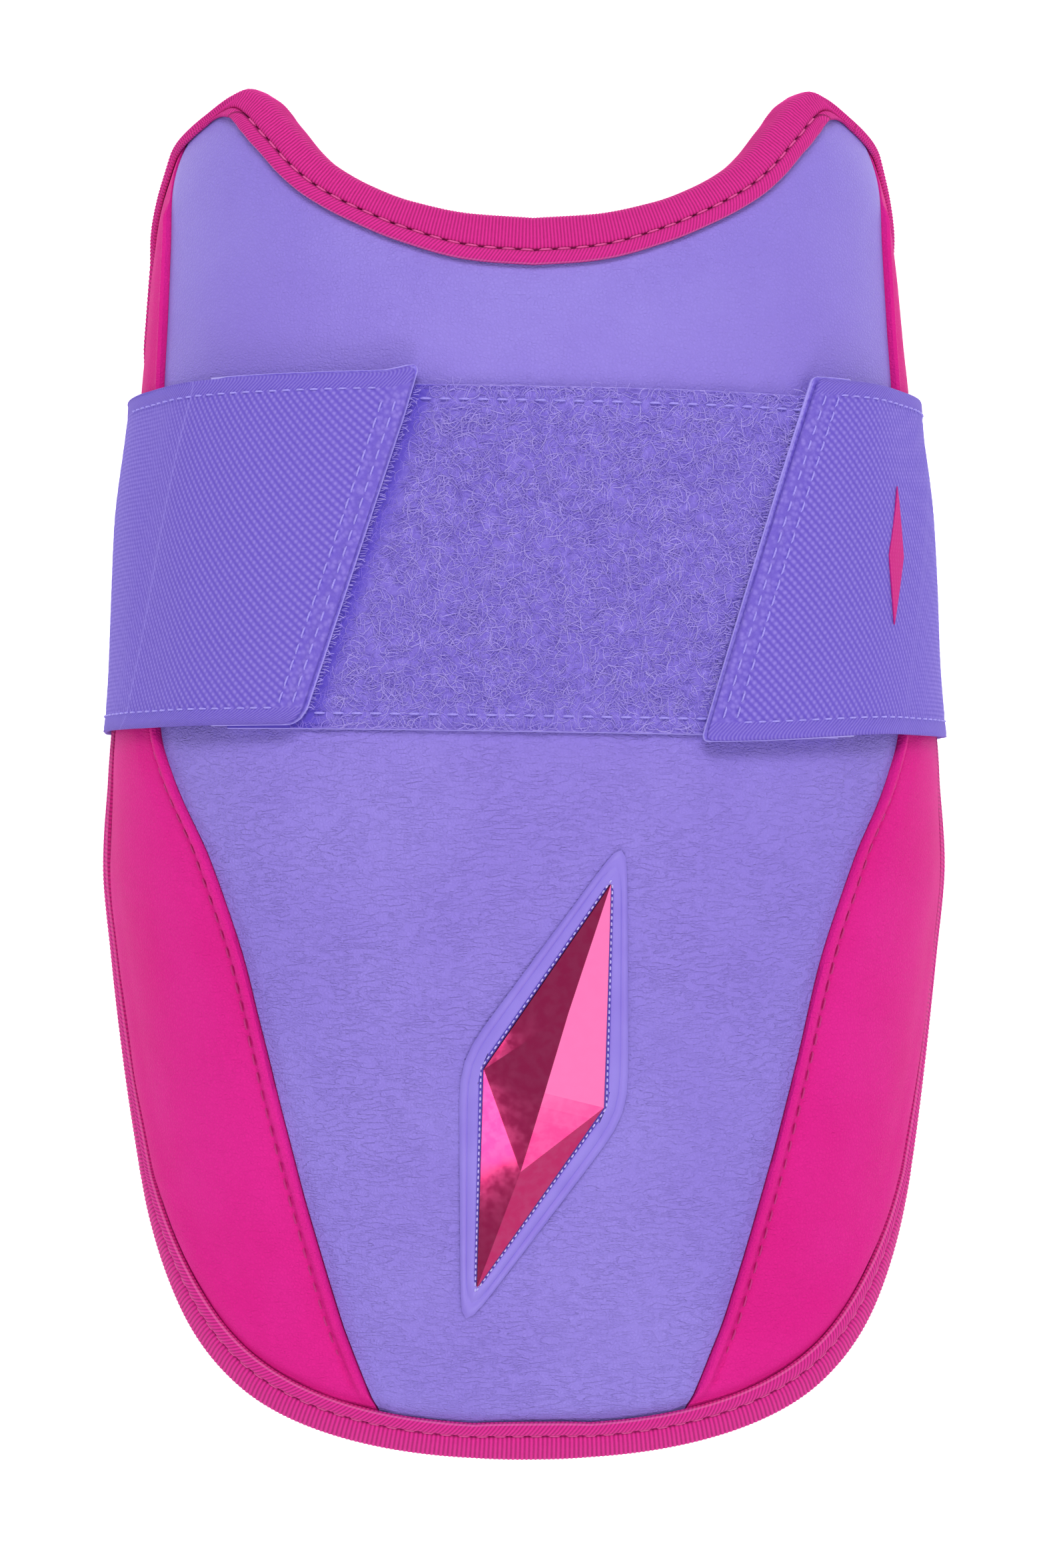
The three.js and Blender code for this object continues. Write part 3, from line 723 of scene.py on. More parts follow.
def leather_look(name, base, dark, light, shine, rough, wrinkled):
    """Coated leather: fine pebble grain, with small level wrinkles on its lower part, and painted shade in
    the pebbles' valleys and in the wrinkles.
    """
    look = Look(name, rough, Specular_IOR_Level=shine)
    place = look.place()
    pebble = look.ramp(look.cells(place, 1500.0), 0.0, 0.28)
    pores = look.noise(place, 3800.0, 2.0)
    drift = look.noise(place, 26.0, 3.0)
    level = look.noise(look.place((0.3, 1.0, 0.5)), 980.0, 3.0, 0.5)
    offset = look.size(look.minus(level, 0.5))
    wrinkle = look.minus(1.0, look.ramp(offset, 0.0, 0.06))
    patches = look.ramp(look.noise(place, 80.0, 2.0), 0.36, 0.6, 0.7, 1.0)
    along = look.add("ShaderNodeSeparateXYZ", {0: place}).outputs[1]
    lower = look.times(look.ramp(along, 0.055, -0.02, 0.3, 1.0), patches)
    depth = look.times(wrinkle, lower)
    grain = look.minus(1.0, pebble)
    tone = look.blend(look.ramp(drift, 0.3, 0.7), base, light)
    # Painted shade: the valleys between the pebbles are darkened.
    tone = look.blend(look.times(grain, 0.12), tone, dark)
    # Painted shade: the wrinkles are darkened as they deepen.
    tone = look.blend(look.times(depth, 0.9 * wrinkled), tone, dark)
    look.colour(tone)
    look.roughness(look.ramp(pores, 0.3, 0.7, rough - 0.04, rough + 0.08))
    look.bump(pores, 0.015)
    look.bump(pebble, 0.06)
    look.bump(look.minus(1.0, depth), wrinkled)
    return look.material


def binding_look():
    """Knitted tape: ribs across it, a finer slanted knit on its inner band, and a groove between them
    darkened with painted shade.
    """
    look = Look("knitted_binding", 0.82, Specular_IOR_Level=0.2, Sheen_Weight=0.12,
                Sheen_Roughness=0.5, Sheen_Tint=rgb("#ff8fcd"))
    along, across = look.pattern()
    rib = look.wave(along, RIB_PITCH, -math.pi / 2)
    threads = look.noise(look.place(), 2600.0, 3.0)
    knit = look.wave(look.times_plus(across, 0.8, along), 0.85)
    band = look.ramp(across, INNER_BAND + 0.1, INNER_BAND - 0.1)
    relief = look.plus(look.times(rib, look.minus(1.0, band)), look.times(knit, band))
    shade = look.plus(look.times(relief, 0.8), look.times(threads, 0.4))
    tone = look.blend(look.ramp(shade, 0.15, 0.85), rgb("#ab1c70"), rgb("#dc2b92"))
    # Painted shade darkens the stitch groove.
    from_groove = look.size(look.minus(across, INNER_BAND))
    groove = look.ramp(from_groove, 0.42, 0.1)
    tone = look.blend(look.times(groove, 0.7), tone, rgb("#6e0c45"))
    look.colour(look.blend(look.ramp(across, 0.26, 0.12, 0.0, 0.4), tone, rgb("#f27fbe")))
    look.bump(relief, 0.09)
    look.bump(threads, 0.05)
    return look.material


def lining_look():
    """Knitted mesh lining with rows of small round openings."""
    look = Look("mesh_lining", 0.88, Specular_IOR_Level=0.2, Sheen_Weight=0.3)
    across, along = look.pattern()
    row = look.times(look.math("FLOOR", look.math("DIVIDE", along, 1.5)), 0.9)
    holes = look.times(look.wave(look.plus(across, row), 1.8), look.wave(along, 1.5))
    threads = look.noise(look.place(), 1800.0, 3.0)
    open_share = look.ramp(holes, 0.45, 0.8)
    tone = look.blend(look.ramp(threads, 0.3, 0.7), rgb("#a51d6d"), rgb("#c92c88"))
    look.colour(look.blend(open_share, tone, rgb("#5f0f40")))
    look.bump(look.minus(1.0, open_share), 0.25)
    look.bump(threads, 0.06)
    return look.material


def slanted_weave(look, across, from_end, side):
    """Slanted rows of beads, set closer beside each end, that turn into level ridges further on."""
    leaned = look.times(look.times_plus(side, 2.0, -1.0), across)
    closer = look.times_plus(look.math("MINIMUM", from_end, 60.0), 0.008, 0.8)
    place_along = look.times(from_end, closer)
    row_place = look.times_plus(leaned, WEAVE_ACROSS, look.times(place_along, WEAVE_ALONG))
    bead_place = look.times_plus(leaned, -WEAVE_ALONG, look.times(place_along, WEAVE_ACROSS))
    rows = look.wave(row_place, WEAVE_ROW_PITCH)
    beads = look.wave(bead_place, WEAVE_BEAD_PITCH)
    floats = look.times(rows, look.times_plus(beads, 0.65, 0.35))
    elastic = look.times_plus(look.wave(across, RIDGE_PITCH), 0.45, look.times(rows, 0.3))
    return look.blend(look.ramp(from_end, 40.0, 62.0), floats, elastic)


def webbing_look():
    """Elastic webbing: a slanted weave with a knotted border at its ends and ribbed selvedges."""
    look = Look("elastic_webbing", 0.8, Specular_IOR_Level=0.2, Sheen_Weight=0.12,
                Sheen_Roughness=0.5, Sheen_Tint=rgb("#b9a8ff"))
    along, across = look.pattern()
    place = look.place()
    from_edge = look.math("PINGPONG", across, STRAP_WIDTH / 2)
    from_end = look.math("PINGPONG", along, STRAP_FLAT_LENGTH / 2)
    side = look.math("GREATER_THAN", along, STRAP_FLAT_LENGTH / 2)
    knots = look.ramp(look.cells(place, 950.0, "F1"), 0.7, 0.1, 0.2, 0.72)
    border = look.ramp(from_end, END_BORDER + 0.5, END_BORDER - 0.5)
    weave = look.blend(border, slanted_weave(look, across, from_end, side), knots)
    ribs = look.wave(look.times_plus(across, 0.8, along), 0.75)
    band = look.ramp(from_edge, SELVEDGE_WIDTH + 0.15, SELVEDGE_WIDTH - 0.15)
    relief = look.blend(band, weave, look.times(ribs, 0.65))
    threads = look.noise(place, 2400.0, 3.0)
    shade = look.plus(look.times(relief, 0.7), look.times(threads, 0.35))
    tone = look.blend(look.ramp(shade, 0.05, 0.95), rgb("#6651c0"), rgb("#8f7dd6"))
    # Painted highlight: a pale line along the ridge where the hook patch ends, on the left tab only.
    crease = look.ramp(look.size(look.minus(from_end, HOOK_CREASE)), 0.3, 0.1)
    crease = look.times(crease, look.times_plus(side, -0.3, 0.3))
    look.colour(look.blend(crease, tone, rgb("#a697ee")))
    look.bump(relief, 0.11)
    look.bump(threads, 0.05)
    return look.material


def loop_base_look():
    """The woven ground under the loops, darkened beside the left tab by a painted shadow."""
    look = Look("loop_ground", 0.9, Specular_IOR_Level=0.1)
    across, along = look.pattern()
    from_edge = look.math("PINGPONG", along, LOOP_PANEL_HEIGHT / 2)
    fuzz = look.noise(look.place(), 1500.0, 4.0, 0.7)
    tone = look.blend(look.ramp(fuzz, 0.35, 0.7), rgb("#7a67c8"), rgb("#8c7bd5"))
    tab = TABS["left"]
    lean = (tab["bottom"] - tab["top"]) / STRAP_WIDTH
    from_tab = look.times_plus(along, -lean, look.plus(across, tab["bottom"]))
    # Painted shadow of the left tab: the ground darkens within a few millimetres of its slanted end.
    tone = look.blend(look.ramp(from_tab, 4.6, 1.0, 0.0, 0.75), tone, rgb("#4f3db8"))
    look.colour(look.blend(look.ramp(from_edge, 0.22, 0.1), tone, rgb("#ab9dee")))
    look.bump(fuzz, 0.2)
    return look.material


def strand_look(name, dark, light, rough=0.7):
    """Fibres or thread: each has its own tone, from its flat coordinate."""
    look = Look(name, rough, Specular_IOR_Level=0.3, Sheen_Weight=0.15)
    own, along = look.pattern()
    twist = look.wave(along, 0.5)
    tone = look.blend(own, dark, light)
    look.colour(look.blend(look.times(twist, 0.25), tone, dark))
    look.bump(twist, 0.02)
    return look.material


def hook_look():
    """Clear hook tape over the strap's colour; its cut edge catches the light."""
    look = Look("hook_tape", 0.35, Specular_IOR_Level=0.5)
    from_edge = look.pattern()[0]
    fine = look.noise(look.place(), 1500.0, 2.0)
    body = look.blend(look.ramp(fine, 0.3, 0.7), rgb("#6c55cc"), rgb("#8672dc"))
    look.colour(look.blend(look.ramp(from_edge, 0.22, 0.1), body, rgb("#b0a3f2")))
    look.bump(fine, 0.05)
    return look.material


def film_look():
    """Moulded film: smooth, very fine matt grain, and a dark sunk line beside the stone."""
    look = Look("badge_film", 0.42, Specular_IOR_Level=0.25)
    place = look.place()
    fine = look.noise(place, 3000.0, 2.0)
    drift = look.noise(place, 90.0, 2.0)
    border = look.pattern()[0]
    tone = look.blend(look.ramp(drift, 0.3, 0.7), rgb("#8b77d6"), rgb("#9280db"))
    look.colour(look.blend(look.ramp(border, 0.9, 0.8), tone, rgb("#5747b4")))
    look.roughness(look.ramp(fine, 0.3, 0.7, 0.36, 0.48))
    look.bump(fine, 0.012)
    return look.material


def chrome_look():
    """Tinted mirror film with slight long waves; painted light and shade make its right-facing facets paler
    and its left and lower facets a deeper pink.
    """
    look = Look("mirror_film", 0.07, Metallic=1.0)
    waves = look.noise(look.place(), 55.0, 1.0)
    rubbed = look.noise(look.place(), 500.0, 3.0)
    # Painted light and shade: facets turned to the right and not downwards get a paler, whiter pink, the
    # rest a deeper pink.
    facing = look.add("ShaderNodeNewGeometry").outputs["True Normal"]
    turned = look.add("ShaderNodeSeparateXYZ", {0: facing})
    right = look.ramp(turned.outputs[0], -0.03, 0.03)
    light = look.times(right, look.ramp(turned.outputs[1], -0.3, -0.24))
    lit_and_shaded_tint = look.blend(light, rgb("#ff4690"), rgb("#f971ac"))
    look.colour(look.blend(look.ramp(rubbed, 0.35, 0.65, 0.0, 0.25), lit_and_shaded_tint, rgb("#fd77b2")))
    look.roughness(look.ramp(rubbed, 0.3, 0.7, 0.06, 0.1))
    look.bump(waves, 0.07)
    return look.material


def print_look():
    """Ink pressed on webbing, so that the weave shows through it."""
    look = Look("strap_print", 0.6, Specular_IOR_Level=0.12)
    along, across = look.pattern()
    weave = look.times(look.wave(across, 0.8), look.wave(along, 0.95))
    look.colour(look.blend(look.times(weave, 0.5), rgb("#c61f80"), rgb("#d42c8e")))
    look.bump(weave, 0.06)
    return look.material


def floor_look():
    """Pale card with a faint tooth."""
    look = Look("pale_floor", 0.9, Specular_IOR_Level=0.1, Emission_Strength=0.55,
                Emission_Color=(1, 1, 1, 1))
    tooth = look.noise(look.place(), 500.0, 3.0)
    look.colour(look.blend(tooth, (0.88, 0.88, 0.88, 1), (0.92, 0.92, 0.92, 1)))
    look.bump(tooth, 0.02)
    return look.material


def make_looks():
    return {
        "purple": leather_look("purple_leather", rgb("#8b77d4"), rgb("#6f5cbe"), rgb("#917fd9"),
                               shine=0.24, rough=0.46, wrinkled=0.1),
        "pink": leather_look("pink_leather", rgb("#d81c86"), rgb("#b01470"), rgb("#dd2490"),
                             shine=0.08, rough=0.66, wrinkled=0.04),
        "binding": binding_look(),
        "lining": lining_look(),
        "webbing": webbing_look(),
        "loop_base": loop_base_look(),
        "white_thread": strand_look("white_thread", rgb("#a79af0"), rgb("#d6cffc")),
        "fibre": strand_look("loop_fibre", rgb("#8f78de"), rgb("#ccbcfa")),
        "hook": hook_look(),
        "film": film_look(),
        "chrome": chrome_look(),
        "print": print_look(),
        "pink_thread": strand_look("pink_thread", rgb("#b01c72"), rgb("#cf2a8a")),
        "rose_thread": strand_look("rose_thread", rgb("#cf3088"), rgb("#ee62ae")),
        "lilac_thread": strand_look("lilac_thread", rgb("#8877e0"), rgb("#b9adf6")),
    }


def make_camera():
    across, along = math.radians(CAMERA_TILT_ACROSS), math.radians(CAMERA_TILT_ALONG)
    forward = Vector((math.sin(across), math.sin(along), -math.cos(across))).normalized()
    right = forward.cross(Vector((0, 1, 0))).normalized()
    up = right.cross(forward)
    roll = math.radians(CAMERA_ROLL)
    turned_right = right * math.cos(roll) + up * math.sin(roll)
    turned_up = up * math.cos(roll) - right * math.sin(roll)
    data = bpy.data.cameras.new("camera")
    data.lens = CAMERA_LENS
    data.sensor_width = 36.0
    data.clip_start, data.clip_end = 0.01, 20.0
    camera = add_object("camera", data)
    turn = Matrix((turned_right, turned_up, -forward)).transposed().to_4x4()
    place = (Vector(CAMERA_TARGET) - forward * CAMERA_DISTANCE) * MM
    camera.matrix_world = Matrix.Translation(place) @ turn
    bpy.context.scene.camera = camera


def make_light(name, place, size, power):
    data = bpy.data.lights.new(name, "AREA")
    data.shape = "RECTANGLE"
    data.size, data.size_y = size
    data.energy = power
    light = add_object(name, data)
    light.location = place
    way = Vector(LIGHT_TARGET) - Vector(place)
    light.rotation_euler = way.to_track_quat("-Z", "Y").to_euler()


def make_room():
    """A pale room that is darker on the left."""
    world = bpy.data.worlds.new("room")
    bpy.context.scene.world = world
    world.use_nodes = True
    sky = world.node_tree
    way = sky.nodes.new("ShaderNodeTexCoord").outputs["Generated"]
    parts = sky.nodes.new("ShaderNodeSeparateXYZ")
    shade = sky.nodes.new("ShaderNodeMapRange")
    shade.interpolation_type = "SMOOTHSTEP"
    for name, value in ROOM_SHADE.items():
        shade.inputs[name].default_value = value
    sky.links.new(way, parts.inputs[0])
    sky.links.new(parts.outputs[0], shade.inputs["Value"])
    sky.links.new(shade.outputs[0], sky.nodes["Background"].inputs["Strength"])
    sky.nodes["Background"].inputs["Color"].default_value = (1, 1, 1, 1)


def make_floor(look):
    mesh = bpy.data.meshes.new("floor")
    signs = ((-1, -1), (1, -1), (1, 1), (-1, 1))
    corners = [(x * FLOOR_REACH, y * FLOOR_REACH, FLOOR_LEVEL) for x, y in signs]
    mesh.from_pydata(corners, [], [(0, 1, 2, 3)])
    mesh.materials.append(look)
    add_object("floor", mesh)


def make_studio(floor):
    make_room()
    for light in LIGHTS:
        make_light(*light)
    make_floor(floor)
    bpy.context.scene.view_settings.view_transform = "Standard"


def beside_seam(side, rows, distance):
    """Columns of points beside a seam, outwards if the distance is positive."""
    angle, y = pattern_point(np.full(rows.shape, float(side)), rows)
    turn = distance / pattern_scale(angle, y)[0]
    span = np.where(distance > 0, side_angle(y) - seam_angle(y), seam_angle(y))
    return side * (1 + turn / span)


def puff(distance, y):
    """The leather swells a little beside the lower binding."""
    rise = smooth_step(RIM_BINDING_FACE, 9.5, distance) * (1 - smooth_step(10.0, 19.0, distance))
    return PUFF_HEIGHT * rise * (1 - smooth_step(-40.0, STRAP_LOW - 4, y))


def creases(x, y):
    """Shallow folds that run across the lower front and sides."""
    fine = ripples(0.35 * x, y, (5.3, 7.9, 11.0, 16.0), 4)
    broad = ripples(x, y, (38.0, 53.0, 71.0), 7)
    return FINE_CREASE * fine * (1 - smooth_step(-10.0, 20.0, y)) + BROAD_CREASE * broad


def make_front_panel(look):
    rows = PANEL_ROWS
    columns = np.linspace(-1.0, 1.0, 132)[1:-1]
    left, right = (beside_seam(side, rows, -LAYER_GAP / 2) for side in (-1, 1))
    grid = np.stack([left, *(np.full(rows.shape, column) for column in columns), right])
    angle, y = pattern_point(grid, np.broadcast_to(rows, grid.shape))
    point, normal = surface(angle, y)
    distance = rim_distance(angle, y)
    across = run_lengths(point, 0)
    along = run_lengths(point, 1)
    from_seam = np.minimum(across, across[-1] - across)
    tuck = -TUCK_DEPTH * (1 - smooth_step(0.0, 3.0, from_seam))
    height = skin_height(distance) + puff(distance, y) + tuck + creases(point[..., 0], y)
    upper = lift(point, normal, height)
    lower = lift(point, normal, skin_height(distance) - LEATHER_THICKNESS)
    panel = make_sheet("purple_front_panel", upper, lower, look, across, along)
    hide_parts("front_panel")


def make_side_panel(name, node, side, look):
    rows = PANEL_ROWS
    lines = [beside_seam(side, rows, LAYER_GAP / 2 + distance) for distance in SEAM_LINES]
    outer = [mix(lines[-1], 2.0 * side, share) for share in np.linspace(0, 1, 34)[1:]]
    grid = np.stack(lines + outer)
    angle, y = pattern_point(grid, np.broadcast_to(rows, grid.shape))
    point, normal = surface(angle, y)
    distance = rim_distance(angle, y)
    across = run_lengths(point, 0)
    along = np.broadcast_to(run_lengths(point, 1)[0], across.shape)
    clear = smooth_step(RIM_BINDING_FACE + FOLD_CLEARANCE,
                        RIM_BINDING_FACE + FOLD_CLEARANCE + FOLD_RUNOUT, distance)
    turned = read_table(FOLD_PROFILE, FOLD_COLUMNS, "height", across / FOLD_WIDTH)
    fold = FOLD_HEIGHT * turned * (across < FOLD_WIDTH)
    from_stitch = across - SEAM_STITCH_PLACE
    groove = -SEAM_GROOVE_DEPTH * np.exp(-(from_stitch / SEAM_GROOVE_WIDTH) ** 2)
    pull = -STITCH_PULL_DEPTH * np.exp(-(from_stitch / STITCH_PULL_WIDTH) ** 2)
    pull = pull * np.cos(2 * math.pi * along / STITCH_PITCH)
    swell = SWELL_HEIGHT * smooth_step(3.2, 9.0, across) * smooth_step(2.0, 16.0, distance)
    relief = (fold + groove + pull) * clear + swell
    height = skin_height(distance) + puff(distance, y) + relief + creases(point[..., 0] + 70, y)
    upper = lift(point, normal, height)
    lower = lift(point, normal, skin_height(distance) - LEATHER_THICKNESS)
    if side < 0:
        upper, lower, across, along = (value[::-1] for value in (upper, lower, across, along))
    panel = make_sheet(name, upper, lower, look, across, along)
    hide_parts(node)


def make_foam_body(look):
    columns = np.concatenate([np.linspace(-2, -1, 26), np.linspace(-1, 1, 56)[1:-1], np.linspace(1, 2, 26)])
    rows = np.linspace(0, 1, 90)
    angle, y = pattern_grid(columns, rows)
    point, normal = surface(angle, y)
    distance = rim_distance(angle, y)
    front = skin_height(distance) - LEATHER_THICKNESS - LAYER_GAP
    soft = PAD_WAVE * ripples(point[..., 0], y, (24.0, 37.0, 52.0), 11) - PAD_WAVE
    back = pad_back(distance) + soft * smooth_step(4.0, 16.0, distance)
    upper = lift(point, normal, front)
    lower = lift(point, normal, back)
    across, along = run_lengths(point, 0), run_lengths(point, 1)
    body = make_sheet("foam_body", upper, lower, look, across, along)
    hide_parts("padded_body")


def rim_line(legs, spacing):
    """Evenly spaced points along part of the rim, with the way inwards at each.

    At the two shoulder tips the tape's face leans outwards, so that its inner edge stays round.
    """
    angle, y = pattern_point(*walk(*legs))
    lengths = run_lengths(shell_point(angle, y), 0)
    keep = np.concatenate([[True], np.diff(lengths) > 1e-6])
    angle, y, lengths = angle[keep], y[keep], lengths[keep]
    stops = np.append(np.arange(0.0, lengths[-1] - spacing / 2, spacing), lengths[-1])
    angle, y = np.interp(stops, lengths, angle), np.interp(stops, lengths, y)
    across, along = pattern_scale(angle, y)
    reach = max(int(round(5.0 / spacing)), 1)
    window = np.hanning(2 * reach + 3)[1:-1]
    window = window / window.sum()
    heading = np.stack([np.gradient(angle) * across, np.gradient(y) * along])
    padded = np.pad(heading, ((0, 0), (reach, reach)), mode="edge")
    smooth = np.stack([np.convolve(part, window, mode="valid") for part in padded])
    smooth = smooth / np.linalg.norm(smooth, axis=0)
    share = np.abs(angle) / QUARTER_TURN
    tip = smooth_step(0.40, 0.48, share) * smooth_step(0.62, 0.585, share) * (y > STRAP_HIGH)
    sideways = -smooth[1] * np.sign(angle)
    leaned = mix(sideways, np.maximum(sideways, TIP_LEAN), tip)
    face_along = np.where(tip > 0, -np.sqrt(1 - leaned**2), smooth[0])
    return {"angle": angle, "y": y, "across": across, "along": along, "length": stops,
            "in_across": -smooth[1], "in_along": smooth[0],
            "face_across": leaned * np.sign(angle), "face_along": face_along}


def station_points(line, inset, height):
    """Points beside the rim: inset runs into the shell, or out beyond the rim if negative."""
    inward = np.maximum(inset, 0.0)
    angle = line["angle"][:, None] + inward * (line["face_across"] / line["across"])[:, None]
    y = line["y"][:, None] + inward * (line["face_along"] / line["along"])[:, None]
    point = raised(angle, y, height)
    base = shell_point(line["angle"], line["y"])
    step = shell_point(line["angle"] + line["in_across"] / line["across"],
                       line["y"] + line["in_along"] / line["along"])
    outward = unit(base - step)
    return point + outward[:, None, :] * np.maximum(-inset, 0.0)[..., None]


def face_profile(width, band, fullness):
    """The tape's face: a rounded inner band, the stitch groove, and the ribbed part outside it."""
    inset = width - np.concatenate([band * BAND_SHARES, band + (width - band) * OUTER_SHARES], axis=1)
    stand = BINDING_FACE_GAP + BINDING_THICKNESS
    stand = mix(0.45 * stand, stand, smooth_step(0.2, 0.8, fullness))
    lip = np.array([-0.4, -0.12] + [0.0] * 5)
    cord = lip + fullness * CORD_HEIGHT * np.sin(math.pi * BAND_SHARES)
    groove = fullness * GROOVE_DEPTH * np.exp(-(OUTER_SHARES / 0.08) ** 2)
    beside = FACE_SWELL * np.sin(math.pi * OUTER_SHARES) - groove
    return inset, skin_height(inset) + stand + np.concatenate([cord, beside], axis=1)


def edge_profile():
    """The tape round the rim and under it, then its inner side; and how many points are in sight."""
    top = skin_height(0.0) + BINDING_FACE_GAP + BINDING_THICKNESS
    bottom = pad_back(0.0) - BINDING_REACH
    power = 2 / BULGE_POWER
    bulge_inset = -BINDING_REACH * np.cos(BULGE_TURNS) ** power
    bulge_rise = np.sign(BULGE_TURNS) * np.abs(np.sin(BULGE_TURNS)) ** power
    bulge_height = (top + bottom) / 2 + (top - bottom) / 2 * bulge_rise
    back_inset = np.array([0.0, BINDING_BACK * 0.5, BINDING_BACK - 0.1, BINDING_BACK])
    back_height = pad_back(back_inset) - np.array([BINDING_REACH, BINDING_REACH, 1.7, 1.2])
    inner_inset = np.array([BINDING_BACK, -BINDING_SLACK, -BINDING_SLACK])
    inner_height = np.array([pad_back(BINDING_BACK) - BINDING_SLACK,
                             pad_back(0.0) - 0.6 * BINDING_SLACK,
                             skin_height(0.0) + 0.6 * BINDING_SLACK])
    inset = np.concatenate([bulge_inset, back_inset, inner_inset])
    height = np.concatenate([bulge_height, back_height, inner_height])
    return inset, height, bulge_inset.size + back_inset.size


def add_ribs(points, length, pitch, shown):
    """Ribs across the part of the tape in sight, faint on its inner band."""
    strength = np.zeros(points.shape[1])
    strength[:shown] = RIB_HEIGHT
    strength[:BAND_SHARES.size + 1] *= 0.25
    neighbours = np.roll(points, -1, axis=1) - np.roll(points, 1, axis=1)
    outward = unit(np.cross(neighbours, np.gradient(points, axis=0)))
    middle = points.mean(axis=1, keepdims=True)
    outward = outward * np.sign(((points - middle) * outward).sum(-1, keepdims=True).mean())
    rib = 0.5 - 0.5 * np.cos(2 * math.pi * length / pitch)
    points = points + outward * (rib[:, None] * strength)[..., None]
    points[..., 2] = np.maximum(points[..., 2], 0.0)
    return points


def tape_across(around, width, band, fullness):
    """Flat distance across the tape. Where the tape is narrow it starts past the groove's painted shade."""
    across = np.concatenate([INNER_BAND * BAND_SHARES + 0 * width,
                             INNER_BAND + (width - band) * OUTER_SHARES], axis=1)
    across = across + 4.0 * smooth_step(0.95, 0.6, fullness)
    last = across.shape[1]
    beyond = across[:, -1:] + around[:, last:] - around[:, last - 1:last]
    return np.concatenate([across, beyond], axis=1)


def make_binding(name, node, legs, face_width_at, pitch, look):
    """Tape folded round the rim, ribbed outside its stitch groove. Returns the groove's line."""
    line = rim_line(legs, pitch / RIB_STEPS)
    count = line["length"].size
    width = face_width_at(line)[:, None]
    band = np.minimum(INNER_BAND, INNER_BAND_SHARE * width)
    fullness = band / INNER_BAND
    face_inset, face_height = face_profile(width, band, fullness)
    edge_inset, edge_height, edge_shown = edge_profile()
    under_inset = width * np.array([0.5, 1.0])
    under_height = skin_height(under_inset) + mix(0.1, BINDING_FACE_GAP, fullness)
    inset = np.concatenate([face_inset, np.tile(edge_inset, (count, 1)), under_inset], axis=1)
    height = np.concatenate([face_height, np.tile(edge_height, (count, 1)), under_height], axis=1)
    shown = face_inset.shape[1] + edge_shown
    points = add_ribs(station_points(line, inset, height), line["length"], pitch, shown)
    around = run_lengths(points, 1)
    index = np.arange(inset.size).reshape(inset.shape)
    after = np.roll(index, -1, axis=1)
    quads = np.stack([index[:-1], index[1:], after[1:], after[:-1]], axis=-1).reshape(-1, 4)
    faces = quads.tolist() + [index[0].tolist(), index[-1][::-1].tolist()]
    along = line["length"][:, None] * RIB_PITCH / pitch
    across = tape_across(around, width, band, fullness)
    flat = np.stack(np.broadcast_arrays(along, across), axis=-1).reshape(-1, 2)
    tape = make_piece(name, points.reshape(-1, 3), faces, look, flat, sharp=75.0)
    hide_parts(node)
    sewn = fullness[:, 0] > 0.9
    groove = {key: value[sewn][::RIB_STEPS] for key, value in line.items()}
    return groove, (width - band)[sewn, 0][::RIB_STEPS]


def rim_face_width(line):
    share = smooth_step(STRAP_LOW, STRAP_HIGH, line["y"])
    return mix(RIM_BINDING_FACE, SHOULDER_BINDING_FACE, share)


def scoop_face_width(line):
    share = np.abs(line["angle"]) / QUARTER_TURN
    narrowed = mix(SCOOP_BINDING_FACE, 0.78 * SCOOP_BINDING_FACE, smooth_step(0.05, 0.28, share))
    return mix(narrowed, SHOULDER_BINDING_FACE, smooth_step(0.455, 0.6, share))


def rods(paths, normals, radii, sides=3, first_corner=90.0):
    """Closed little many-sided rods along many paths of points, shape (count, stops, 3)."""
    count, stops = paths.shape[:2]
    tangent = unit(np.gradient(paths, axis=1))
    sideways = unit(np.cross(tangent, normals))
    upward = np.cross(sideways, tangent)
    corners = np.radians(first_corner + np.arange(sides) * 360.0 / sides)
    ring = (sideways[:, :, None] * np.cos(corners)[:, None] + upward[:, :, None] * np.sin(corners)[:, None])
    points = paths[:, :, None] + ring * radii[..., None, None]
    index = np.arange(count * stops * sides).reshape(count, stops, sides)
    after = np.roll(index, -1, axis=2)
    quads = np.stack([index[:, :-1], after[:, :-1], after[:, 1:], index[:, 1:]], axis=-1)
    caps = [face.tolist() for face in (*index[:, 0, ::-1], *index[:, -1])]
    return points.reshape(-1, 3), quads.reshape(-1, 4).tolist() + caps


def loop_place(x, y):
    """The loop panel is sewn on a little low, and turned by about one degree."""
    return y - LOOP_DROP - LOOP_TURN * x


def tab_reach(tab, y):
    return mix(tab["bottom"], tab["top"], (y - STRAP_LOW) / STRAP_WIDTH)


def between_tabs(y, lap):
    """Where the open middle of the loop panel starts and ends, with a lap under each tab."""
    return -tab_reach(TABS["left"], y) - lap, tab_reach(TABS["right"], y) + lap


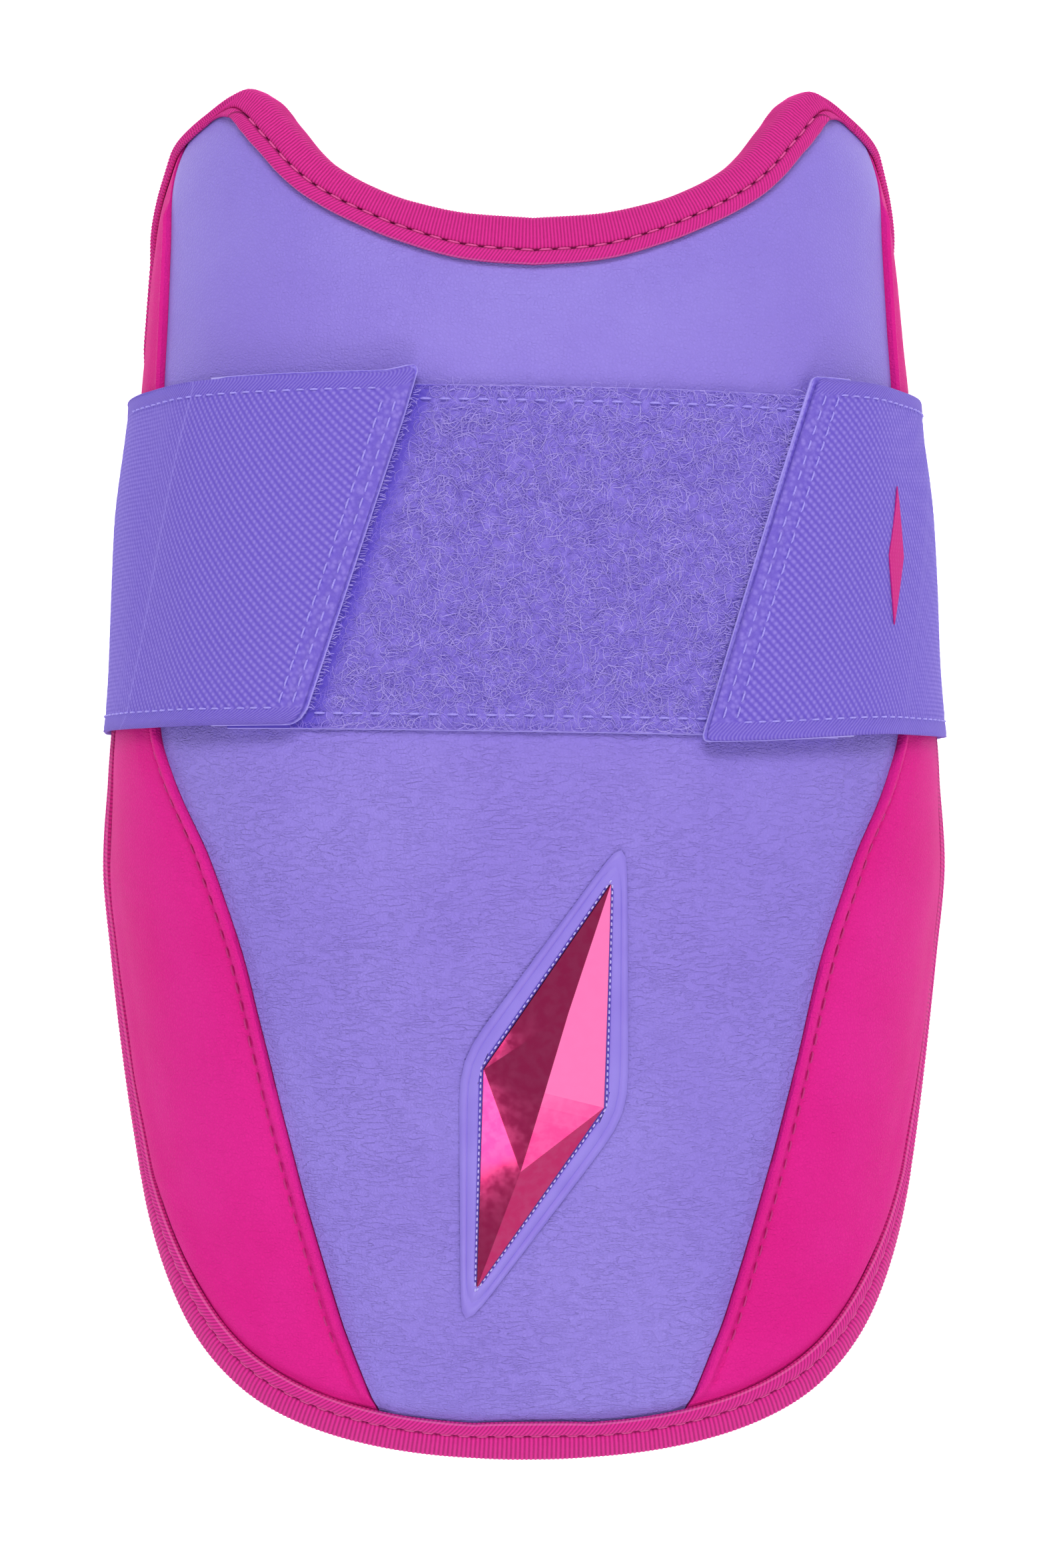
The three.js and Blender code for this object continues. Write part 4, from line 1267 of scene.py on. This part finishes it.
def make_fibres(name, look, seed, low, high):
    """Curled loops that lie over the open middle of the loop panel, between the two tabs."""
    random = np.random.default_rng(seed)
    count = FIBRE_COUNT
    y = random.uniform(LOOP_LOW + 0.7, LOOP_HIGH - 0.7, count)
    y[:STRAY_HAIRS] = LOOP_HIGH - 0.3
    x = mix(*between_tabs(y, 2.5), random.uniform(0, 1, count))
    heading = random.uniform(0, 2 * math.pi, count)[:, None]
    length = random.uniform(1.6, 4.2, count)
    curl = random.normal(0, 0.8, count)
    crown = random.uniform(low, high, count)
    step = np.linspace(-0.5, 0.5, 5)[None]
    ahead = step * length[:, None]
    aside = curl[:, None] * np.cos(math.pi * step)
    place_x = x[:, None] + ahead * np.cos(heading) - aside * np.sin(heading)
    place_y = y[:, None] + ahead * np.sin(heading) + aside * np.cos(heading)
    spread = np.where(np.arange(count) < STRAY_HAIRS, 2.5, -0.25)[:, None]
    place_y = loop_place(place_x, np.clip(place_y, LOOP_LOW - spread, LOOP_HIGH + spread))
    # Beside the left tab the loops lie lower, and the same mask darkens their colour below as a painted
    # shadow.
    pressed = smooth_step(5.0, 1.5, x + tab_reach(TABS["left"], y))
    from_row = np.minimum(np.abs(y - LOOP_LOW - LOOP_SEWN), np.abs(LOOP_HIGH - LOOP_SEWN - y))
    crown = crown * (1 - 0.8 * pressed) * mix(0.3, 1.0, smooth_step(0.4, 1.4, from_row))
    rise = LOOP_RIDE + LOOP_THICKNESS - 0.1 + crown[:, None] * np.cos(math.pi * step) ** 0.8
    point, normal = surface_across(place_x, place_y)
    paths = lift(point, normal, rise)
    radii = np.full(paths.shape[:2], FIBRE_RADIUS) * random.uniform(0.7, 1.25, (count, 1))
    points, faces = rods(paths, normal, radii)
    # Painted shadow: the fibres' tone falls to their darkest beside the left tab.
    own = np.repeat(random.uniform(0, 1, count) * (1 - pressed), 5 * 3)
    flat = np.stack([own, np.tile(np.repeat(np.arange(5.0), 3), count)], axis=-1)
    return make_piece(name, points, faces, look, flat, sharp=80.0)


def make_loop_panel(base_look, fibre_look):
    lines = edge_spaced(-LOOP_PANEL_SPREAD, LOOP_PANEL_SPREAD, 1.4)
    heights = edge_spaced(LOOP_LOW, LOOP_HIGH, 1.4)
    x, y = np.meshgrid(lines, heights, indexing="ij")
    point, normal = surface_across(x, loop_place(x, y))
    from_edge = np.minimum(np.minimum(y - LOOP_LOW, LOOP_HIGH - y), LOOP_PANEL_SPREAD - np.abs(x))
    drawn_in = edge_round(from_edge, LOOP_GROUND)
    nap = NAP_HEIGHT * smooth_step(0.3, 1.4, from_edge)
    mottle = 0.05 * ripples(x, y, (1.9, 2.7, 3.7, 5.1), 21) * smooth_step(0.5, 1.6, from_edge)
    top = LOOP_RIDE + LOOP_GROUND - drawn_in + nap + mottle
    upper = lift(point, normal, top)
    lower = lift(point, normal, LOOP_RIDE + drawn_in)
    panel = make_sheet("loop_tape", upper, lower, base_look, x, y - LOOP_LOW)
    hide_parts("loop_panel")
    fibres = [make_fibres("loop_pile_low", fibre_look, 31, 0.05, 0.4),
              make_fibres("loop_pile_high", fibre_look, 32, 0.35, 0.7)]


def tab_end(tab, y):
    """The slanted end with its two corners rounded."""
    from_edge = np.minimum(y - STRAP_LOW, STRAP_HIGH - y)
    radius = np.where(y < STRAP_CENTRE, tab["low_round"], tab["high_round"])
    share = 1 - np.clip(from_edge / radius, 0.0, 1.0)
    return tab_reach(tab, y) + radius * (1 - np.sqrt(np.maximum(1 - share**2, 0.0)))


def tab_shift(tab, from_end, y):
    """The left tab's upper corner stands up like an ear; the right tab's lower corner hangs."""
    corner = smooth_step(STRAP_HIGH - 9, STRAP_HIGH, y) * (tab["side"] < 0)
    up = EAR_HEIGHT * corner * np.exp(-((from_end - 0.6) / EAR_WIDTH) ** 2)
    low_share = 1 - (y - STRAP_LOW) / STRAP_WIDTH
    hang = mix(0.45 * smooth_step(130.0, 60.0, from_end), 1.0, smooth_step(44.0, 0.0, from_end))
    return up - tab["droop"] * low_share**2 * hang


def strap_over_face(tab, y):
    """Middle line and outward direction from the slanted end over the face and down the side."""
    end = tab_end(tab, y)
    near = np.array([0.0, 0.1, 0.3, 0.6])[:, None]
    far = mix(end + 1.1, SLOPE_START, np.linspace(0, 1, 34)[:, None])
    flat_x = np.concatenate([end + near, far])
    angle = angle_across(tab["side"] * flat_x, np.broadcast_to(y, flat_x.shape))
    start = np.abs(angle[-1:])
    wall = mix(start, STRAP_WALL_ANGLE, np.linspace(0, 1, 60)[1:, None])
    away = (wall - start) * pattern_scale(wall, np.broadcast_to(y, wall.shape))[0]
    wall_ride = mix(TAB_RIDE, STRAP_RIDE, smooth_step(0.0, TAB_SLOPE, away))
    ride = np.concatenate([np.full(angle.shape, TAB_RIDE), wall_ride])
    angle = np.concatenate([angle, tab["side"] * wall])
    point, normal = surface(angle, np.broadcast_to(y, angle.shape))
    return lift(point, normal, ride + STRAP_THICKNESS / 2), normal


def strap_corner(tab, y):
    """Middle line and outward direction of the turn from the side to below the guard."""
    turns = np.radians(np.linspace(0, QUARTER_TURN, 9))[:, None]
    centre_x = half_width_at(y) + STRAP_RIDE - STRAP_CORNER_RADIUS
    centre_z = STRAP_THICKNESS + STRAP_CORNER_RADIUS
    radius = STRAP_CORNER_RADIUS + STRAP_THICKNESS / 2
    across = tab["side"] * (centre_x + radius * np.cos(turns))
    arc = np.stack(np.broadcast_arrays(across, y, centre_z - radius * np.sin(turns)), axis=-1)
    out = np.stack(np.broadcast_arrays(tab["side"] * np.cos(turns), 0 * y, -np.sin(turns)), axis=-1)
    return arc, out


def strap_half(tab, rows):
    """Middle line, outward direction and distance from the slanted end of half the strap."""
    y = rows[None]
    face, face_out = strap_over_face(tab, y)
    arc, arc_out = strap_corner(tab, y)
    inward = np.linspace(1, 0, 30)[1:, None]
    floor = np.stack(np.broadcast_arrays(inward * arc[-1, :, 0], y, STRAP_THICKNESS / 2), axis=-1)
    middle = np.concatenate([face, arc, floor])
    out = np.concatenate([face_out, arc_out, np.broadcast_to(arc_out[-1], floor.shape)])
    from_end = run_lengths(middle, 0)
    middle[..., 1] += tab_shift(tab, from_end, y)
    return middle, out, from_end


def strap_waves(tab, from_end, y):
    """Slow waves of the strap, and the step where the hook patch below it ends."""
    along = from_end if tab["side"] < 0 else STRAP_FLAT_LENGTH - from_end
    step = HOOK_STEP * smooth_step(HOOK_CREASE + 1.2, HOOK_CREASE - 0.4, from_end)
    return STRAP_WAVE * ripples(along, y, (17.0, 26.0, 41.0), 17) + step - 0.4


def make_strap(look):
    """The strap is one band: from the left tab round below the guard to the right tab."""
    rows = edge_spaced(STRAP_LOW, STRAP_HIGH, 1.15)
    halves = []
    for tab in TABS.values():
        middle, out, from_end = strap_half(tab, rows)
        along = from_end if tab["side"] < 0 else STRAP_FLAT_LENGTH - from_end
        halves.append((middle, out, from_end, strap_waves(tab, from_end, rows), along))
    middle, out, from_end, waves, along = (
        np.concatenate([left, right[::-1][1:]]) for left, right in zip(*halves))
    y = np.broadcast_to(rows, from_end.shape)
    from_edge = np.minimum(y - STRAP_LOW, STRAP_HIGH - y)
    nearest = np.minimum(from_edge, np.maximum(from_end, 0))
    band = smooth_step(SELVEDGE_WIDTH + 0.6, SELVEDGE_WIDTH - 0.4, nearest)
    groove = np.exp(-((nearest - SELVEDGE_WIDTH) / 0.5) ** 2)
    elastic = ELASTIC_HEIGHT * np.cos(2 * math.pi * along / ELASTIC_PITCH) * (1 - band)
    relief = SELVEDGE_HEIGHT * band - SELVEDGE_GROOVE * groove + elastic + waves
    half = STRAP_THICKNESS / 2 - edge_round(nearest, STRAP_THICKNESS)
    outer = lift(middle, out, half + np.minimum(relief, 0.3) * (nearest > 0.3))
    outer[..., 2] = np.maximum(outer[..., 2], 0.0)
    inner = lift(middle, -out, half)
    strap = make_sheet("elastic_band", inner, outer, look, along, y - STRAP_LOW)
    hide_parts("elastic_strap")


def on_tab(tab, x, y, height):
    """Points on a tab, a distance out from the middle plane and a height over its face."""
    angle = angle_across(tab["side"] * x, y)
    return raised(angle, y, np.full(np.shape(angle), TAB_RIDE + STRAP_THICKNESS) + height)


def make_hook_tape(name, node, tab, look):
    rows = edge_spaced(STRAP_LOW, STRAP_HIGH, 1.6)
    grown = STRAP_LOW + (rows - STRAP_LOW) * (1 + 0.75 / STRAP_WIDTH)
    reach = tab_end(tab, rows) - HOOK_LIP
    near = np.array([0.0, 0.06, 0.2, 0.42, 0.8, 1.2, 2.0])[:, None]
    far = np.linspace(0, 1, 12)[1:, None]
    x = np.concatenate([reach + near, mix(reach + near[-1], HOOK_REACH, far)])
    y = np.broadcast_to(rows, x.shape)
    from_edge = np.minimum(np.minimum(y - STRAP_LOW, STRAP_HIGH - y), np.minimum(x - reach, HOOK_REACH - x))
    drawn_in = edge_round(from_edge, HOOK_THICKNESS)
    shown_y = np.broadcast_to(grown, x.shape) + tab_shift(tab, x - reach, y)
    point, normal = surface_across(tab["side"] * x, shown_y)
    upper = lift(point, normal, HOOK_RIDE + HOOK_THICKNESS - drawn_in)
    lower = lift(point, normal, HOOK_RIDE + drawn_in)
    if tab["side"] < 0:
        upper, lower, from_edge, y = (value[::-1] for value in (upper, lower, from_edge, y))
    tape = make_sheet(name, upper, lower, look, from_edge, y)
    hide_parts(node)


def make_hooks(look):
    """Small bent hooks that stand along the slanted lips and hold the first loops."""
    random = np.random.default_rng(51)
    paths, normals = [], []
    for tab in TABS.values():
        y = np.arange(STRAP_LOW + 3, STRAP_HIGH - 3, 0.42)
        y = y + random.uniform(-0.15, 0.15, y.size)
        x = tab_reach(tab, y) - HOOK_LIP + random.uniform(-0.1, 0.35, y.size)
        step = np.linspace(0, 1, 5)[None]
        out = random.uniform(0.5, 1.3, (y.size, 1))
        lean = random.normal(0, 0.35, (y.size, 1))
        place_x = tab["side"] * (x[:, None] - out * step)
        place_y = y[:, None] + lean * step**2
        bend = 0.45 * np.sin(math.pi * step) * random.uniform(0.2, 1.2, (y.size, 1))
        point, normal = surface_across(place_x, place_y)
        paths.append(lift(point, normal, HOOK_RIDE + 0.5 + bend - 0.35 * step))
        normals.append(normal)
    paths, normals = np.concatenate(paths), np.concatenate(normals)
    points, faces = rods(paths, normals, np.full(paths.shape[:2], HOOK_RADIUS))
    own = np.repeat(random.uniform(0.4, 1, len(paths)), 15)
    make_piece("hook_ends", points, faces, look, np.stack([own, own], axis=-1), sharp=80.0)


def stitches(path, normal, kind):
    """Thread stitches laid end to end along a path of points on a surface."""
    pitch, length, radius = STITCHES[kind]
    distance = run_lengths(path, 0)
    starts = np.arange(0.3 * pitch, distance[-1] - length, pitch)
    steps = np.linspace(0, 1, 6)
    at = starts[:, None] + steps * length

    def along(values):
        return np.stack([np.interp(at, distance, values[:, axis]) for axis in range(3)], axis=-1)

    ends = np.clip(np.minimum(steps, 1 - steps) / 0.18, 0, 1)
    upward = unit(along(normal))
    paths = along(path) + upward * (radius * (1.7 * ends - 1.0))[:, None]
    radii = radius * np.tile(0.55 + 0.45 * ends, (len(starts), 1))
    points, faces = rods(paths, upward, radii, sides=6, first_corner=0.0)
    flat = np.stack([np.full(len(points), 0.5), np.repeat(at, 6)], axis=-1)
    return points, faces, flat


def make_thread(name, look, rows):
    """One piece of thread from several rows of stitches."""
    points, faces, flats, start = [], [], [], 0
    for row_points, row_faces, row_flat in rows:
        points.append(row_points)
        flats.append(row_flat)
        faces += [[corner + start for corner in face] for face in row_faces]
        start += len(row_points)
    return make_piece(name, np.concatenate(points), faces, look, np.concatenate(flats), sharp=70.0)


def binding_stitches(line, inset):
    height = skin_height(inset) + BINDING_FACE_GAP + BINDING_THICKNESS - 0.3
    path = station_points(line, inset[:, None], height[:, None])[:, 0]
    angle = line["angle"] + inset * line["face_across"] / line["across"]
    y = line["y"] + inset * line["face_along"] / line["along"]
    return stitches(path, surface(angle, y)[1], "binding")


def seam_stitches(side):
    rows = np.linspace(0.001, 0.999, 500)
    column = beside_seam(side, rows, LAYER_GAP / 2 + SEAM_STITCH_PLACE)
    angle, y = pattern_point(column, rows)
    distance = rim_distance(angle, y)
    keep = distance > RIM_BINDING_FACE + 1.5
    angle, y, distance = angle[keep], y[keep], distance[keep]
    point, normal = surface(angle, y)
    return stitches(lift(point, normal, skin_height(distance) - 0.26), normal, "seam")


def loop_stitches(y):
    x = np.linspace(*between_tabs(y, 3), 120)
    point, normal = surface_across(x, loop_place(x, y))
    return stitches(point + normal * (LOOP_RIDE + LOOP_THICKNESS + 0.42), normal, "loop")


def tab_stitches(tab, inset):
    y = np.linspace(STRAP_LOW + 3, STRAP_HIGH - 3, 120)
    x = tab_reach(tab, y) + inset
    path = on_tab(tab, x, y + tab_shift(tab, inset, y), -0.08)
    normal = surface_across(tab["side"] * x, y)[1]
    return stitches(path, normal, "tab")


def selvedge_stitches(tab, y):
    middle, out, from_end = (value[:, 0] for value in strap_half(tab, np.array([y])))
    sewn = (from_end > END_BORDER + 1) & (from_end < EDGE_SEWN)
    middle, out, from_end = middle[sewn], out[sewn], from_end[sewn]
    height = STRAP_THICKNESS / 2 + strap_waves(tab, from_end, np.full(from_end.shape, y)) + 0.02
    return stitches(lift(middle, out, height), out, "selvedge")


def badge_point(along, across, height):
    lean = math.radians(BADGE_LEAN)
    x = BADGE_ACROSS + along * math.sin(lean) + across * math.cos(lean)
    y = BADGE_ALONG + along * math.cos(lean) - across * math.sin(lean)
    return raised(angle_across(x, y), y, height)


def badge_outline(border, steps=14):
    """The badge's lozenge grown by a border, its corners a little rounded."""
    half_long, half_wide = GEM_LENGTH / 2, GEM_WIDTH / 2
    slant = math.hypot(half_long, half_wide)
    long = half_long + border * slant / half_wide * FRAME_TIP_SHARE
    wide = half_wide + border * slant / half_long
    corners = np.array([(long, 0.0), (0.0, -wide), (-long, 0.0), (0.0, wide)])
    sides = [mix(corner, after, np.linspace(0, 1, steps + 1)[:-1, None])
             for corner, after in zip(corners, np.roll(corners, -1, axis=0))]
    line = np.concatenate(sides)
    for _ in range(3 if border > 1 else 0):
        line = (np.roll(line, 1, axis=0) + 2 * line + np.roll(line, -1, axis=0)) / 4
    return line


def make_badge_frame(look):
    rings = []
    for border, height in BADGE_PROFILE:
        outline = badge_outline(border)
        rings.append(badge_point(*outline.T, np.full(len(outline), height)))
    points = np.stack(rings, axis=1)
    index = np.arange(points[..., 0].size).reshape(points.shape[:2])
    beside, after = np.roll(index, -1, axis=1), np.roll(index, -1, axis=0)
    both = np.roll(after, -1, axis=1)
    faces = np.stack([index, after, both, beside], axis=-1).reshape(-1, 4).tolist()
    borders = np.array([border for border, _ in BADGE_PROFILE])
    flat = np.stack(np.broadcast_arrays(borders, np.arange(float(len(points)))[:, None]), axis=-1)
    film = make_piece("badge_surround", points.reshape(-1, 3), faces, look,
                      flat.reshape(-1, 2), sharp=60.0)
    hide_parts("badge_frame")


def badge_stitches():
    line = badge_outline(0.5, 40)
    line = np.concatenate([line, line[:1]])
    path = badge_point(*line.T, np.full(len(line), 0.66))
    normal = surface_across(path[:, 0], path[:, 1])[1]
    return stitches(path, normal, "badge")


def facet_grid(corners, steps):
    """Points and triangles of one flat facet, cut into steps along each side."""
    a, b, c = (np.array(corner) for corner in corners)
    numbers, points, faces = {}, [], []
    for i in range(steps + 1):
        for j in range(steps + 1 - i):
            numbers[i, j] = len(points)
            points.append(a + (b - a) * i / steps + (c - a) * j / steps)
    for i in range(steps):
        for j in range(steps - i):
            faces.append([numbers[i, j], numbers[i + 1, j], numbers[i, j + 1]])
            if i + j < steps - 1:
                faces.append([numbers[i + 1, j], numbers[i + 1, j + 1], numbers[i, j + 1]])
    return points, faces


def make_gem(look):
    """A long cut stone: a level ridge, slopes to both tips, and a narrow bright edge all round."""
    half_long, half_wide = GEM_LENGTH / 2, GEM_WIDTH / 2
    edge = LAYER_GAP + FRAME_THICKNESS
    tip = GEM_END_WIDTH / 2
    table = {
        "top": (half_long, 0.0, edge), "low": (-half_long, 0.0, edge),
        "right": (0.0, half_wide, edge), "left": (0.0, -half_wide, edge),
        "high": (GEM_RIDGE / 2, -tip, edge + GEM_RISE), "deep": (-GEM_RIDGE / 2, tip, edge + GEM_RISE),
        "heart": (0.0, 0.0, edge + GEM_RISE * 1.12),
    }
    facets = [("top", "high", "right"), ("high", "heart", "right"), ("heart", "deep", "right"),
              ("deep", "low", "right"), ("low", "deep", "left"), ("deep", "heart", "left"),
              ("heart", "high", "left"), ("high", "top", "left")]
    points, faces = [], []
    for names in facets:
        facet_points, facet_faces = facet_grid([table[name] for name in names], FACET_STEPS)
        faces += [[corner + len(points) for corner in face] for face in facet_faces]
        points += facet_points
    top = np.array(points)
    base = top.copy()
    base[:, 2] = LAYER_GAP
    both = np.concatenate([top, base])
    places = badge_point(both[:, 0], both[:, 1], both[:, 2])
    faces = faces + [[corner + len(top) for corner in face[::-1]] for face in faces]
    gem = make_piece("badge_stone", places, faces, look, both[:, :2], sharp=9.0)
    close_gem(gem.data)
    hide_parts("badge_gem")


def close_gem(mesh):
    """Joins the facets' shared edges and closes the stone round its outline."""
    shape = bmesh.new()
    shape.from_mesh(mesh)
    bmesh.ops.remove_doubles(shape, verts=shape.verts, dist=2e-5)
    border = [edge for edge in shape.edges if edge.is_boundary]
    bmesh.ops.bridge_loops(shape, edges=border)
    bmesh.ops.recalc_face_normals(shape, faces=shape.faces)
    shape.to_mesh(mesh)
    shape.free()
    mesh.shade_smooth()
    mesh.set_sharp_from_angle(angle=math.radians(6.0))


def make_strap_mark(look):
    """A slim plain rhombus printed on the right side of the strap."""
    tab = TABS["right"]
    shares = np.linspace(-1, 1, 25)
    across = np.linspace(-1, 1, 5)
    turn = MARK_ANGLE + MARK_HALF_TURN * np.outer(across, 1 - np.abs(shares))
    turn = turn + MARK_LEAN * shares
    y = STRAP_CENTRE + MARK_HALF_LENGTH * np.broadcast_to(shares, turn.shape)
    start = angle_across(np.full(y.shape, SLOPE_START), y)
    away = (turn - start) * pattern_scale(turn, y)[0]
    ride = mix(TAB_RIDE, STRAP_RIDE, smooth_step(0.0, TAB_SLOPE, away)) + STRAP_THICKNESS
    upper = raised(tab["side"] * turn, y, ride + 0.12)
    lower = raised(tab["side"] * turn, y, ride - 0.15)
    make_sheet("strap_mark", upper, lower, look, run_lengths(upper, 0), y)


def make_bindings(look, thread_look):
    """The rim's tape and the scoop's tape, which meet end to end beside the shoulders."""
    end = SCOOP_BINDING_SHARE + TAPE_JOIN_GAP / HALF_WIDTH
    rim_legs = [((-end, 1), (-2, 1), 300), ((-2, 1), (-2, 0), 900), ((-2, 0), (2, 0), 900),
                ((2, 0), (2, 1), 900), ((2, 1), (end, 1), 300)]
    scoop_legs = [((SCOOP_BINDING_SHARE, 1), (-SCOOP_BINDING_SHARE, 1), 1200)]
    rim_groove = make_binding("rim_tape", "rim_binding", rim_legs, rim_face_width, RIB_PITCH, look)
    scoop_groove = make_binding("scoop_tape", "scoop_binding", scoop_legs, scoop_face_width,
                                SCOOP_RIB_PITCH, look)
    make_thread("binding_thread", thread_look,
                [binding_stitches(*rim_groove), binding_stitches(*scoop_groove)])


def make_fastening(looks):
    """The loop panel, the strap that closes on it, and the hook tape under the strap's tabs."""
    make_loop_panel(looks["loop_base"], looks["fibre"])
    make_thread("loop_thread", looks["lilac_thread"],
                [loop_stitches(y) for y in (LOOP_LOW + LOOP_SEWN, LOOP_HIGH - LOOP_SEWN)])
    make_strap(looks["webbing"])
    for name, tab in TABS.items():
        make_hook_tape(f"hook_tape_{name}", f"hook_patch_{name}", tab, looks["hook"])
    make_hooks(looks["fibre"])
    tab_rows = [tab_stitches(tab, inset) for tab in TABS.values() for inset in TAB_SEAMS]
    edge_rows = [selvedge_stitches(tab, y) for tab in TABS.values()
                 for y in (STRAP_LOW + SELVEDGE_WIDTH, STRAP_HIGH - SELVEDGE_WIDTH)]
    make_thread("strap_thread", looks["lilac_thread"], tab_rows + edge_rows)


def build():
    looks = make_looks()
    make_camera()
    make_studio(floor_look())
    make_foam_body(looks["lining"])
    make_front_panel(looks["purple"])
    for name, tab in TABS.items():
        make_side_panel(f"pink_side_{name}", f"side_panel_{name}", tab["side"], looks["pink"])
    make_bindings(looks["binding"], looks["rose_thread"])
    make_thread("seam_thread", looks["pink_thread"],
                [seam_stitches(side) for side in (-1, 1)])
    make_fastening(looks)
    make_badge_frame(looks["film"])
    make_gem(looks["chrome"])
    make_thread("badge_thread", looks["white_thread"], [badge_stitches()])
    make_strap_mark(looks["print"])


build()
